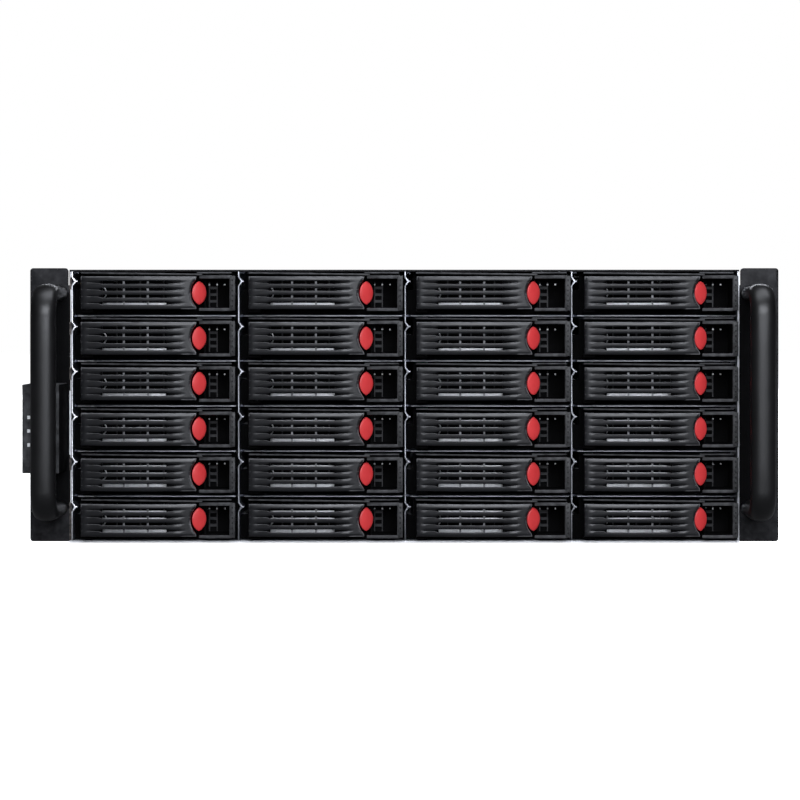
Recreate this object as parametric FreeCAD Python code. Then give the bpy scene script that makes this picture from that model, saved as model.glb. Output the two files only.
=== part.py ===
import math
import os

import FreeCAD
import Part

V = FreeCAD.Vector
TO_REAR = V(0, 1, 0)
UP = V(0, 0, 1)

# Rack sizes, mm: x to the right, y to the rear, z up, y = 0 on the rack posts
EAR_SPAN = 482.6
HEIGHT = 177.0
EAR_W = 25.3
RACK_HOLE_EDGE = 8.75
RACK_HOLE_Z = 101.6

# Folded sheet body
BODY_W = EAR_SPAN - 2 * EAR_W
TOP_PLAY = 1.0
BODY_H = HEIGHT - TOP_PLAY
FRONT = -2.5
REAR = 650.0
SHEET = 1.2
CAGE_SHEET = 1.0
LID_FRONT = 256.0
LID_GAP = 0.5
LID_APRON = 18.0
LID_TONGUE = 9.0
LID_LAP = 6.0
WALL_FLANGE = 12.0
THUMB_EDGE = 36.0
THUMB_R = 5.0
THUMB_L = 10.0
SLIDE_CLEAR = 0.3

HALF_W = BODY_W / 2
INSIDE = HALF_W - SHEET
LID_UNDER = BODY_H - SHEET

# Drive bays
COLS = 4
ROWS = 6
BAY_W = (2 * INSIDE - COLS * CAGE_SHEET) / COLS
BAY_H = (LID_UNDER - SHEET - (ROWS - 1) * CAGE_SHEET) / ROWS
COL_PITCH = BAY_W + CAGE_SHEET
ROW_PITCH = BAY_H + CAGE_SHEET
CAGE_REAR = 214.0
CAGE_FLANGE = 3.0
STRIKE_DROP = 6.4
STRIKE_HALF = 2.9
STRIKE_V = 2.0
STRIKE_LIP = 3.0
STRIKE_DEPTH = 14.0
SHELF_RELIEF = 8.0
SHELF_INSET = 1.3

# Tray, in bay coordinates: u from the left wall, z from the bay floor
RUN = 0.4
LEFT_RAIL = 2.5
RIGHT_RAIL = 1.0
RAIL_Z0 = SLIDE_CLEAR
RAIL_GAP = 2.5
RAIL_Z1 = BAY_H - STRIKE_DROP - STRIKE_HALF - RAIL_GAP
SOCKET_DEPTH = 7.6
TRAY_REAR = CAGE_REAR - SOCKET_DEPTH - RUN
TIE_D = 8.0
TIE_H = 2.0
FRAME_Y0 = 5.0
FRAME_Y1 = 9.0
FRAME_GAP = 1.6
FRAME_U0 = STRIKE_LIP + FRAME_GAP
FRAME_U1 = BAY_W - RUN
FRAME_Z0 = 0.5
FRAME_DROP = 1.5
FRAME_Z1 = BAY_H - FRAME_DROP
WINDOW_EDGE = 1.0
LEVER_U0 = 7.0
LEVER_Z0 = 3.8
LEVER_DROP = 3.3
LEVER_Z1 = BAY_H - LEVER_DROP
LEVER_MID = (LEVER_Z0 + LEVER_Z1) / 2
LEVER_Y = -15.0
LEVER_BOW = 2.6
SHOULDER_BOW = 1.82
LEVER_T = 2.0
VENT_START = 14.1
VENT_END = 19.0
VENT_ROWS = 4
VENT_PITCH = 4.4
VENT_H = 2.2
VENT_MARGIN = 2.0
LUG_U1 = 14.0
LUG_EDGE = 0.6
PIN_U = 10.4
PIN_Y = -7.0
PIN_R = 1.2
PIN_CLEAR = 0.3
KNUCKLE_R = 3.2
POCKET_W = 19.2
POCKET_EDGE = 2.8
POCKET_U1 = BAY_W - POCKET_EDGE
POCKET_U0 = POCKET_U1 - POCKET_W
POCKET_WALL = 1.6
POCKET_LIP = 2.2
POCKET_Z0 = 2.4
POCKET_DROP = 2.5
POCKET_Z1 = BAY_H - POCKET_DROP
POCKET_Y0 = -13.0
POCKET_Y1 = 11.0
PIPE_T = 1.6
PIPE_H = 12.0
KEY_W = 8.6
KEY_H = 15.0
KEY_GAP = 2.35
KEY_U = POCKET_U0 - KEY_GAP
KEY_EDGE = 1.0
KEY_FACETS = 4
KEY_BACK = -3.4
KEY_LEFT_Y = -11.4
KEY_RIGHT_Y = -4.7
KEY_STEM_U = 2.2
KEY_STEM_W = 3.6
KEY_STEM_H = 6.0
GUIDE_T = 1.5
GUIDE_REACH = 4.0
LEVER_GAP = 1.05
LEVER_U1 = KEY_U - LEVER_GAP
VENT_LENGTH = LEVER_U1 - LEVER_U0 - VENT_START - VENT_END
NOTCH_R = 12.4
NOTCH_DEEP = 3.7
CATCH_GAP = 3.4
CATCH_D = 4.0
CATCH_H = 8.0

# Backplane boards
BOARD_T = 1.6
BOARD_Z0 = 2.0
BOARD_H = 24.0
SOCKET_W = 42.0
SOCKET_H = 5.5
SOCKET_U = 15.0
CABLE_SOCKET_X = (-150.0, -40.0, 100.0)
CABLE_SOCKET_W = 22.0
CABLE_SOCKET_H = 8.0
CABLE_SOCKET_D = 10.0
BOARD_VENT_GAP = 5.0
BOARD_VENT_U = SOCKET_U + SOCKET_W + BOARD_VENT_GAP
BOARD_VENT_EDGE = 8.4
BOARD_VENT_W = BAY_W - BOARD_VENT_U - BOARD_VENT_EDGE
BOARD_VENT_H = 16.0

# Fans
FAN = 120.0
FAN_T = 25.0
FAN_BORE = 57.5
FANS = 3
FAN_GAP = (2 * INSIDE - FANS * FAN) / (FANS + 1)
FAN_PITCH = FAN + FAN_GAP
FAN_Z = 76.0
FAN_WALL_Y = 262.0
FAN_WALL_RIM = 14.0
FAN_WINDOW = 108.0
FAN_WALL_LIP = 10.0
CABLE_SLOT_W = 12.0
CABLE_SLOT_H = 90.0
HUB_R = 20.0
HUB_SIDES = 20
HUB_L = 19.0
STRUT_W = 4.0
STRUT_T = 3.0
BLADES = 5
BLADE_CHORD = 27.0
BLADE_T = 1.6
BLADE_ROOT = 2.0
BLADE_PITCH = 38.0
TIP_CLEAR = 2.5

# Main board space and rear panel
STANDOFF_EDGE = 44.8
STANDOFF_X0 = STANDOFF_EDGE - INSIDE
STANDOFF_X = (0.0, 157.48, 281.94)
STANDOFF_Y0 = 626.0
STANDOFF_Y = (0.0, -154.94, -227.33)
STANDOFF_H = 6.5
STANDOFF_R = 2.9
STANDOFF_BORE = 1.25
SUPPLY_EDGE = 4.8
SUPPLY_W = 86.0
SUPPLY_X0 = INSIDE - SUPPLY_EDGE - SUPPLY_W
SUPPLY_Z0 = 10.0
SUPPLY_DROP = 14.8
SUPPLY_H = LID_UNDER - SUPPLY_DROP - SUPPLY_Z0
PORTS_W = 158.75
PORTS_H = 44.45
PORTS_GAP = 5.25
PORTS_X0 = SUPPLY_X0 - PORTS_GAP - PORTS_W
PORTS_LIFT = 2.0
PORTS_Z0 = SHEET + STANDOFF_H + PORTS_LIFT
REAR_VENTS = 9
REAR_VENT_PITCH = 9.0
REAR_VENT_H = 4.0
REAR_VENT_W = 70.0
REAR_VENT_EDGE = 4.0
REAR_VENT_X = (PORTS_X0 + REAR_VENT_EDGE, PORTS_X0 + PORTS_W - REAR_VENT_EDGE - REAR_VENT_W)
REAR_VENT_Z0 = 74.0
SLOT_PITCH = 20.32
SLOT_EDGE = 14.8
SLOT_X0 = SLOT_EDGE - INSIDE
SLOT_GAP = 20.0
SLOTS = 1 + int((PORTS_X0 - SLOT_GAP - SLOT_X0) / SLOT_PITCH)
SLOT_W = 13.0
SLOT_Z0 = 14.0
SLOT_H = 104.0
SLOT_COVER_W = 18.4
SLOT_COVER_T = 1.0
SLOT_COVER_LAP = 4.0
SLOT_TAB = 11.0

# Ears, handles and pod
EAR_T = 2.5
EAR_FOOT = 0.8
EAR_FLANGE_T = 2.0
EAR_FLANGE_Y = 30.0
EAR_FLANGE_INSET = 11.0
EAR_HOLE_R = 3.5
EAR_SLOT = 10.3
GRIP_EDGE = 16.3
GRIP_X = EAR_SPAN / 2 - GRIP_EDGE
GRIP_Y = -46.0
GRIP_W = 16.0
GRIP_D = 11.0
GRIP_CUT = 3.4
GRIP_FOOT = 22.3
GRIP_DROP = 16.0
GRIP_BEND = 14.0
POD_W = 23.4
POD_GAP = 1.1
POD_X1 = -HALF_W - POD_GAP
POD_X0 = POD_X1 - POD_W
POD_Y0 = -34.0
POD_Z0 = 47.0
POD_H = 56.0
POD_WALL = 2.0
POD_BOARD_Y = -25.0
POD_LEDGE = 3.0
SWITCH = 6.0
SWITCH_T = 3.5
POWER_Z = 43.0
RESET_Z = 11.0
CAP_X = 9.6
POWER_R = 4.0
RESET_R = 2.0
CAP_CLEAR = 0.35
CAP_PROUD = 0.8
CAP_TRAVEL = 1.0
LIGHT_X = 3.3
LIGHT_Z = (16.8, 25.6, 34.2)
LIGHT_W = 2.2
LIGHT_L = 8.0

NODES = {}


def box(x0, x1, y0, y1, z0, z1):
    return Part.makeBox(x1 - x0, y1 - y0, z1 - z0, V(x0, y0, z0))


def rod(x, y, z, radius, length, axis):
    return Part.makeCylinder(radius, length, V(x, y, z), axis)


def face_of(points):
    return Part.Face(Part.makePolygon(points + points[:1]))


def plan(points, z0, z1):
    return face_of([V(x, y, z0) for x, y in points]).extrude(V(0, 0, z1 - z0))


def section(points, y0, y1):
    return face_of([V(x, y0, z) for x, z in points]).extrude(V(0, y1 - y0, 0))


def arc(start, through, end):
    return Part.Arc(start, through, end).toShape()


def join(first, *rest):
    return first.multiFuse(list(rest)).removeSplitter()


def keep(name, *solids):
    NODES[name] = list(solids)


def bay_corner(row, col):
    return V(SHEET - HALF_W + CAGE_SHEET + (col - 1) * COL_PITCH, 0, SHEET + (ROWS - row) * ROW_PITCH)


# Tub: floor and side walls in one fold, with inward flanges that carry the rear cover
def make_tub():
    shell = section([(-HALF_W, 0), (HALF_W, 0), (HALF_W, LID_UNDER), (INSIDE, LID_UNDER), (INSIDE, SHEET),
                     (-INSIDE, SHEET), (-INSIDE, LID_UNDER), (-HALF_W, LID_UNDER)], FRONT, REAR)
    edge = HALF_W - WALL_FLANGE
    flanges = [box(x0, x1, LID_FRONT, REAR - SHEET, LID_UNDER - SHEET, LID_UNDER)
               for x0, x1 in ((-HALF_W, -edge), (edge, HALF_W))]
    keep("chassis_tub", join(shell, *flanges))


# Covers: the front one is fixed, the rear one has a tongue under it and an apron with two thumbscrews
def make_covers():
    keep("front_cover", box(-HALF_W, HALF_W, FRONT, LID_FRONT - LID_GAP, LID_UNDER, BODY_H))
    side = HALF_W - WALL_FLANGE - LID_LAP
    tongue_top = LID_UNDER - SLIDE_CLEAR
    lid = join(box(-HALF_W, HALF_W, LID_FRONT, REAR + SHEET, LID_UNDER, BODY_H),
               box(-HALF_W, HALF_W, REAR, REAR + SHEET, BODY_H - LID_APRON, BODY_H),
               box(-side, side, LID_FRONT, LID_FRONT + LID_LAP, tongue_top, LID_UNDER),
               box(-side, side, LID_FRONT - LID_TONGUE, LID_FRONT + LID_LAP, tongue_top - SHEET, tongue_top))
    thumb_x = HALF_W - THUMB_EDGE
    thumbs = [rod(x, REAR + SHEET, BODY_H - LID_APRON / 2, THUMB_R, THUMB_L, TO_REAR)
              for x in (-thumb_x, thumb_x)]
    keep("top_cover", lid, *thumbs)


# Cage: one wall at the left of each column, with a pressed strike per bay, and shelves between the walls
def make_cage():
    walls = []
    shelves = []
    for col in range(1, COLS + 1):
        x = bay_corner(1, col).x
        relief = FRONT + SHELF_RELIEF
        wall = join(box(x - CAGE_SHEET, x, FRONT, CAGE_REAR, SHEET, LID_UNDER),
                    box(x, x + CAGE_FLANGE, relief, CAGE_REAR, LID_UNDER - CAGE_SHEET, LID_UNDER))
        for row in range(1, ROWS + 1):
            z = bay_corner(row, col).z + BAY_H - STRIKE_DROP
            wall = press_strike(wall, x, z)
        walls.append(wall.removeSplitter())
        for row in range(1, ROWS):
            z = bay_corner(row, col).z
            left = x + STRIKE_LIP
            right = x + BAY_W
            shelves.append(plan([(left, FRONT), (right - SHELF_INSET, FRONT), (right - SHELF_INSET, relief),
                                 (right, relief), (right, CAGE_REAR), (x, CAGE_REAR), (x, relief),
                                 (left, relief)], z - CAGE_SHEET, z))
    keep("cage_walls", *walls)
    keep("cage_shelves", *shelves)


def press_strike(wall, x, z):
    lip = CAGE_SHEET / 2
    rear = FRONT + STRIKE_DEPTH
    wall = wall.cut(box(x - CAGE_SHEET, x, FRONT, rear, z - STRIKE_HALF, z + STRIKE_HALF))
    fold = section([(x, z + STRIKE_HALF), (x + STRIKE_V, z + lip), (x + STRIKE_LIP, z + lip),
                    (x + STRIKE_LIP, z - lip), (x + STRIKE_V, z - lip), (x, z - STRIKE_HALF),
                    (x - CAGE_SHEET, z - STRIKE_HALF), (x + STRIKE_V - 1.3 * CAGE_SHEET, z),
                    (x - CAGE_SHEET, z + STRIKE_HALF)], FRONT, rear)
    return wall.fuse(fold)


# Backplanes: one board per row, a drive socket per bay and cable sockets behind
def make_backplanes():
    boards = []
    sockets = []
    rear = CAGE_REAR + BOARD_T
    for row in range(1, ROWS + 1):
        z = bay_corner(row, 1).z + BOARD_Z0
        mid = z + BOARD_H / 2
        board = box(-INSIDE, INSIDE, CAGE_REAR, rear, z, z + BOARD_H)
        for col in range(1, COLS + 1):
            x = bay_corner(row, col).x
            vent = x + BOARD_VENT_U
            board = board.cut(box(vent, vent + BOARD_VENT_W, CAGE_REAR, rear,
                                  mid - BOARD_VENT_H / 2, mid + BOARD_VENT_H / 2))
            sockets.append(box(x + SOCKET_U, x + SOCKET_U + SOCKET_W, CAGE_REAR - SOCKET_DEPTH, CAGE_REAR,
                               z + BOARD_Z0, z + BOARD_Z0 + SOCKET_H))
        boards.append(board)
        sockets += [box(x, x + CABLE_SOCKET_W, rear, rear + CABLE_SOCKET_D,
                        z + BOARD_Z0, z + BOARD_Z0 + CABLE_SOCKET_H) for x in CABLE_SOCKET_X]
    keep("backplanes", *boards)
    keep("backplane_sockets", *sockets)


# Fan wall across the tub, three square fans behind it, each with a motor seat on four struts
def make_fans():
    top = FAN_Z + FAN / 2 + FAN_WALL_RIM
    y0 = FAN_WALL_Y + SHEET
    y1 = y0 + FAN_T
    wall = join(box(-INSIDE, INSIDE, FAN_WALL_Y, y0, SHEET, top),
                box(-INSIDE, INSIDE, FAN_WALL_Y - FAN_WALL_LIP, FAN_WALL_Y, top - SHEET, top))
    frames = []
    half = FAN_WINDOW / 2
    for number in range(1, FANS + 1):
        x = (number - (FANS + 1) / 2) * FAN_PITCH
        wall = wall.cut(box(x - half, x + half, FAN_WALL_Y, y0, FAN_Z - half, FAN_Z + half))
        frames.append(make_fan_frame(x, y0, y1))
        keep("fan_rotor_%d" % number, make_rotor(x, y1 - STRUT_T - SLIDE_CLEAR - HUB_L))
    for k in range(FANS - 1):
        x = (k + 1 - FANS / 2) * FAN_PITCH
        wall = wall.cut(box(x - CABLE_SLOT_W / 2, x + CABLE_SLOT_W / 2, FAN_WALL_Y, y0,
                            FAN_Z - CABLE_SLOT_H / 2, FAN_Z + CABLE_SLOT_H / 2))
    keep("fan_wall", wall)
    keep("fan_frames", *frames)


def make_fan_frame(x, y0, y1):
    half = FAN / 2
    reach = (FAN_BORE + half) / 2
    seat_y = y1 - STRUT_T
    frame = box(x - half, x + half, y0, y1, FAN_Z - half, FAN_Z + half)
    frame = frame.cut(rod(x, y0, FAN_Z, FAN_BORE, FAN_T, TO_REAR))
    return join(frame, make_hub(x, seat_y, y1),
                box(x - reach, x + reach, seat_y, y1, FAN_Z - STRUT_W / 2, FAN_Z + STRUT_W / 2),
                box(x - STRUT_W / 2, x + STRUT_W / 2, seat_y, y1, FAN_Z - reach, FAN_Z + reach))


def make_rotor(x, y):
    blades = []
    for k in range(BLADES):
        blade = box(-BLADE_CHORD / 2, BLADE_CHORD / 2, -BLADE_T / 2, BLADE_T / 2,
                    HUB_R - BLADE_ROOT, FAN_BORE - TIP_CLEAR)
        blade.rotate(V(0, 0, 0), UP, BLADE_PITCH)
        blade.translate(V(x, y + HUB_L / 2, FAN_Z))
        blade.rotate(V(x, 0, FAN_Z), TO_REAR, 360.0 * k / BLADES)
        blades.append(blade)
    return join(make_hub(x, y, y + HUB_L), *blades)


def make_hub(x, y0, y1):
    turns = [2 * math.pi * k / HUB_SIDES for k in range(HUB_SIDES)]
    return section([(x + HUB_R * math.cos(t), FAN_Z + HUB_R * math.sin(t)) for t in turns], y0, y1)


# Rear panel with the openings for ports, cards, supply and air, and the blank card covers inside it
def make_rear():
    y0 = REAR - SHEET
    panel = box(-INSIDE, INSIDE, y0, REAR, SHEET, LID_UNDER)
    cuts = [box(PORTS_X0, PORTS_X0 + PORTS_W, y0, REAR, PORTS_Z0, PORTS_Z0 + PORTS_H),
            box(SUPPLY_X0, SUPPLY_X0 + SUPPLY_W, y0, REAR, SUPPLY_Z0, SUPPLY_Z0 + SUPPLY_H)]
    for k in range(REAR_VENTS):
        z = REAR_VENT_Z0 + k * REAR_VENT_PITCH
        cuts += [box(x, x + REAR_VENT_W, y0, REAR, z, z + REAR_VENT_H) for x in REAR_VENT_X]
    covers = []
    for k in range(SLOTS):
        x = SLOT_X0 + SLOT_PITCH * k
        half = SLOT_COVER_W / 2
        top = SLOT_Z0 + SLOT_H + SLOT_COVER_LAP
        face = y0 - SLOT_COVER_T
        cuts.append(box(x - SLOT_W / 2, x + SLOT_W / 2, y0, REAR, SLOT_Z0, SLOT_Z0 + SLOT_H))
        covers.append(join(box(x - half, x + half, face, y0, SLOT_Z0 - SLOT_COVER_LAP, top),
                           box(x - half, x + half, face - SLOT_TAB, face, top - SLOT_COVER_T, top)))
    keep("rear_panel", panel.cut(Part.makeCompound(cuts)))
    keep("slot_covers", *covers)


# Standoffs for the main board: the four corner ones are tapped
def make_standoffs():
    pillars = []
    for dx in STANDOFF_X:
        for dy in STANDOFF_Y:
            x, y = STANDOFF_X0 + dx, STANDOFF_Y0 + dy
            turns = [math.pi * k / 3 for k in range(6)]
            pillar = plan([(x + STANDOFF_R * math.cos(a), y + STANDOFF_R * math.sin(a)) for a in turns],
                          SHEET, SHEET + STANDOFF_H)
            if dx != STANDOFF_X[1] and dy != STANDOFF_Y[1]:
                pillar = pillar.cut(rod(x, y, SHEET, STANDOFF_BORE, STANDOFF_H, UP))
            pillars.append(pillar)
    keep("board_standoffs", *pillars)


# Ears: angle brackets on the outside of the tub, with slotted rack holes behind the handles
def make_ears():
    for side, name in ((-1, "left"), (1, "right")):
        x0, x1 = sorted((side * HALF_W, side * EAR_SPAN / 2))
        f0, f1 = sorted((side * HALF_W, side * (HALF_W + EAR_FLANGE_T)))
        mid = HEIGHT / 2
        flange_top = HEIGHT - EAR_FLANGE_INSET
        ear = join(box(x0, x1, FRONT, FRONT + EAR_T, EAR_FOOT, HEIGHT),
                   box(f0, f1, FRONT, EAR_FLANGE_Y, EAR_FLANGE_INSET, flange_top))
        ear = ear.cut(box(f0, f1, FRONT, FRONT + EAR_T, flange_top, HEIGHT))
        for z in (mid - RACK_HOLE_Z / 2, mid + RACK_HOLE_Z / 2):
            ear = ear.cut(rack_slot(side * (EAR_SPAN / 2 - RACK_HOLE_EDGE), z))
        keep(name + "_ear", ear)
        keep(name + "_handle", make_handle(side * GRIP_X))


def rack_slot(x, z):
    reach = EAR_SLOT / 2 - EAR_HOLE_R
    return join(box(x - reach, x + reach, FRONT, FRONT + EAR_T, z - EAR_HOLE_R, z + EAR_HOLE_R),
                rod(x - reach, FRONT, z, EAR_HOLE_R, EAR_T, TO_REAR),
                rod(x + reach, FRONT, z, EAR_HOLE_R, EAR_T, TO_REAR))


# Handle: a bar with cut corners, bent back to the ear at both ends; the lower half is mirrored
def make_handle(x):
    w, d, c = GRIP_W / 2, GRIP_D / 2, GRIP_CUT
    ring = [(-w, c - d), (c - w, -d), (w - c, -d), (w, c - d),
            (w, d - c), (w - c, d), (c - w, d), (-w, d - c)]
    turn = GRIP_Y + GRIP_BEND
    middle = (GRIP_FOOT + HEIGHT - GRIP_DROP) / 2
    riser = GRIP_FOOT + GRIP_BEND
    foot = face_of([V(x + a, turn, GRIP_FOOT + b) for a, b in ring])
    grip = face_of([V(x + a, GRIP_Y + b, riser) for a, b in ring])
    half = join(foot.extrude(V(0, FRONT - turn, 0)), foot.revolve(V(x, turn, riser), V(1, 0, 0), -90),
                grip.extrude(V(0, 0, middle - riser)))
    return join(half, half.mirror(V(0, 0, middle), UP))


# Pod: shell open to the ear, board on two ledges, two caps in front of their switches, three lights
def make_pod():
    z0, z1 = POD_Z0, POD_Z0 + POD_H
    i0, i1 = POD_X0 + POD_WALL, POD_X1 - POD_WALL
    inner_y = POD_Y0 + POD_WALL
    shell = box(POD_X0, POD_X1, POD_Y0, FRONT, z0, z1)
    shell = shell.cut(box(i0, i1, inner_y, FRONT, z0 + POD_WALL, z1 - POD_WALL))
    ledges = [box(i0, i1, inner_y, POD_BOARD_Y, z, z + POD_LEDGE)
              for z in (z0 + POD_WALL, z1 - POD_WALL - POD_LEDGE)]
    shell = join(shell, *ledges)
    switches = []
    for name, z, r in (("power_button", z0 + POWER_Z, POWER_R), ("reset_button", z0 + RESET_Z, RESET_R)):
        x = POD_X0 + CAP_X
        half = SWITCH / 2
        switch_y = POD_BOARD_Y - SWITCH_T
        front = POD_Y0 - CAP_PROUD
        shell = shell.cut(rod(x, POD_Y0, z, r + CAP_CLEAR, POD_WALL, TO_REAR))
        switches.append(box(x - half, x + half, switch_y, POD_BOARD_Y, z - half, z + half))
        keep(name, rod(x, front, z, r, switch_y - CAP_TRAVEL - CAP_CLEAR - front, TO_REAR))
    light_x = POD_X0 + LIGHT_X
    lights = [box(light_x, light_x + LIGHT_W, POD_Y0, POD_Y0 + LIGHT_L, z0 + z, z0 + z + LIGHT_W)
              for z in LIGHT_Z]
    keep("control_pod", shell.cut(Part.makeCompound(lights)))
    keep("pod_lights", *lights)
    board = box(i0, i1, POD_BOARD_Y, POD_BOARD_Y + BOARD_T, z0 + POD_WALL, z1 - POD_WALL)
    keep("pod_board", board, *switches)


# Lever: flat vented middle between two rounded shoulders, scooped end beside the key, leg at the pivot end.
# The levers that don't pivot have plain facets for their shoulders and scoop
def make_lever(pivots):
    vent = LEVER_U0 + VENT_START
    flat0 = vent - VENT_MARGIN
    flat1 = vent + VENT_LENGTH + VENT_MARGIN
    back = LEVER_Y + LEVER_T
    outline = [Part.makeLine(V(u, LEVER_Y, LEVER_Z0), V(u, back, LEVER_Z0)) for u in (LEVER_U0, LEVER_U1)]
    for y in (LEVER_Y, back):
        outline.append(Part.makeLine(V(flat0, y - LEVER_BOW, LEVER_Z0), V(flat1, y - LEVER_BOW, LEVER_Z0)))
        for end, flat in ((LEVER_U0, flat0), (LEVER_U1, flat1)):
            points = [V(end, y, LEVER_Z0), V((end + flat) / 2, y - SHOULDER_BOW, LEVER_Z0),
                      V(flat, y - LEVER_BOW, LEVER_Z0)]
            outline += [arc(*points)] if pivots else Part.makePolygon(points).Edges
    tall = LEVER_Z1 - LEVER_Z0
    plate = Part.Face(Part.Wire(Part.__sortEdges__(outline))).extrude(V(0, 0, tall))
    cuts = [make_scoop(pivots, back)]
    for k in range(VENT_ROWS):
        z = LEVER_MID + (k - (VENT_ROWS - 1) / 2) * VENT_PITCH
        cuts.append(box(vent, vent + VENT_LENGTH, LEVER_Y - LEVER_BOW, back, z - VENT_H / 2, z + VENT_H / 2))
    plate = plate.cut(Part.makeCompound(cuts))
    leg_u = PIN_U - KNUCKLE_R
    leg_end = PIN_Y if pivots else FRAME_Y0
    leg = box(leg_u, leg_u + LEVER_T, LEVER_Y + LEVER_T / 2, leg_end, LEVER_Z0, LEVER_Z1)
    if not pivots:
        return join(plate, leg)
    catch_u = KEY_U - KEY_W / 2 - CATCH_GAP
    knuckle = rod(PIN_U, PIN_Y, LEVER_Z0, KNUCKLE_R, tall, UP)
    catch = box(catch_u - LEVER_T, catch_u, LEVER_Y, LEVER_Y + LEVER_T + CATCH_D,
                LEVER_MID - CATCH_H / 2, LEVER_MID + CATCH_H / 2)
    return join(plate, leg, knuckle, catch).cut(rod(PIN_U, PIN_Y, LEVER_Z0, PIN_R + PIN_CLEAR, tall, UP))


def make_scoop(smooth, back):
    u, y = LEVER_U1 + NOTCH_R - NOTCH_DEEP, LEVER_Y - LEVER_BOW
    if smooth:
        return rod(u, y, LEVER_MID, NOTCH_R, back - y, TO_REAR)
    turns = [math.radians(a) for a in (-60, -20, 20, 60)]
    return section([(u - NOTCH_R * math.cos(t), LEVER_MID + NOTCH_R * math.sin(t)) for t in turns], y, back)


# Release key: eye-shaped, its face turned towards the finger pocket, on a flat stem
def make_key(pivots):
    half_w, half_h = KEY_W / 2, KEY_H / 2
    foot, head = V(KEY_U, LEVER_Y, LEVER_MID - half_h), V(KEY_U, LEVER_Y, LEVER_MID + half_h)
    sides = [arc(foot, V(KEY_U + half_w, LEVER_Y, LEVER_MID), head),
             arc(head, V(KEY_U - half_w, LEVER_Y, LEVER_MID), foot)]
    eye = Part.Wire(sides)
    if not pivots:
        corners = [p for side in sides for p in side.discretize(KEY_FACETS + 1)[1:]]
        eye = Part.makePolygon(corners + corners[:1])
    lens = Part.Face(eye).extrude(V(0, KEY_BACK - LEVER_Y, 0))
    left, right = KEY_U - half_w - KEY_EDGE, KEY_U + half_w + KEY_EDGE
    slant = plan([(left, LEVER_Y), (right, LEVER_Y), (right, KEY_RIGHT_Y), (left, KEY_LEFT_Y)], 0, BAY_H)
    stem_u = KEY_U - KEY_STEM_U
    stem_end = FRAME_Y0 - (SLIDE_CLEAR if pivots else 0)
    stem = box(stem_u, stem_u + KEY_STEM_W, KEY_BACK, stem_end,
               LEVER_MID - KEY_STEM_H / 2, LEVER_MID + KEY_STEM_H / 2)
    return join(lens.cut(slant), stem)


# Front frame of a tray: ring behind the lever, brow above it, finger pocket, pivot lug and the key's guides
def make_frame(pivots):
    ring = box(FRAME_U0, FRAME_U1, FRAME_Y0, FRAME_Y1, FRAME_Z0, FRAME_Z1)
    window = box(LUG_U1, KEY_U - KEY_W / 2 - WINDOW_EDGE, FRAME_Y0, FRAME_Y1,
                 LEVER_Z0 + WINDOW_EDGE, LEVER_Z1 - WINDOW_EDGE)
    foot = box(RUN, FRAME_U0, FRAME_Y0, FRAME_Y1, FRAME_Z0, RAIL_Z1)
    pocket = box(POCKET_U0, POCKET_U1, POCKET_Y0, POCKET_Y1, POCKET_Z0, POCKET_Z1)
    pieces = [foot, pocket]
    lug_u = PIN_U - KNUCKLE_R - LUG_EDGE
    lug_y = PIN_Y - KNUCKLE_R - LUG_EDGE
    low, high = LEVER_Z0 - SLIDE_CLEAR, LEVER_Z1 + SLIDE_CLEAR
    pieces.append(box(lug_u, POCKET_U0, lug_y, FRAME_Y0, high, FRAME_Z1))
    if pivots:
        pieces.append(box(lug_u, LUG_U1, lug_y, FRAME_Y0, FRAME_Z0, low))
        pieces.append(rod(PIN_U, PIN_Y, low, PIN_R, high - low, UP))
        edge = KEY_STEM_H / 2 + SLIDE_CLEAR
        guides = ((-edge - GUIDE_T, -edge), (edge, edge + GUIDE_T))
        pieces += [box(KEY_U - GUIDE_REACH, POCKET_U0, KEY_BACK + GUIDE_T, FRAME_Y0,
                       LEVER_MID + a, LEVER_MID + b) for a, b in guides]
    low, high = POCKET_Z0 + POCKET_LIP, POCKET_Z1 - POCKET_LIP
    hollow = box(POCKET_U0 + POCKET_WALL, POCKET_U1 - POCKET_WALL, POCKET_Y0, POCKET_Y1 - POCKET_WALL,
                 low, high)
    mouth = box(POCKET_U0, POCKET_U0 + POCKET_WALL, POCKET_Y0, KEY_BACK + RUN, low, high)
    return join(ring.cut(window), *pieces).cut(Part.makeCompound([hollow, mouth]))


# Trays: the top row has pivoting levers and sliding keys as pieces of their own
def make_trays():
    inner0, inner1 = RUN + LEFT_RAIL, FRAME_U1 - RIGHT_RAIL
    rails = [box(RUN, inner0, FRAME_Y1, TRAY_REAR, RAIL_Z0, RAIL_Z1),
             box(inner1, FRAME_U1, FRAME_Y1, TRAY_REAR, RAIL_Z0, RAIL_Z1),
             box(inner0, inner1, TRAY_REAR - TIE_D, TRAY_REAR, RAIL_Z0, RAIL_Z0 + TIE_H)]
    pipe = box(POCKET_U1, POCKET_U1 + PIPE_T, POCKET_Y0, FRAME_Y0,
               LEVER_MID - PIPE_H / 2, LEVER_MID + PIPE_H / 2)
    for row in range(1, ROWS + 1):
        pivots = row == 1
        frame, lever, key = make_frame(pivots), make_lever(pivots), make_key(pivots)
        for col in range(1, COLS + 1):
            at = bay_corner(row, col)
            place = "r%dc%d" % (row, col)
            still = [frame, *rails, pipe]
            if pivots:
                keep("lever_" + place, lever.translated(at))
                keep("release_" + place, key.translated(at))
            else:
                still += [lever, key]
            keep("tray_" + place, *[solid.translated(at) for solid in still])


make_tub()
make_covers()
make_cage()
make_backplanes()
make_fans()
make_rear()
make_standoffs()
make_ears()
make_pod()
make_trays()

os.makedirs("parts", exist_ok=True)
for name, solids in NODES.items():
    Part.makeCompound(solids).exportStep("parts/%s.step" % name)
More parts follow.
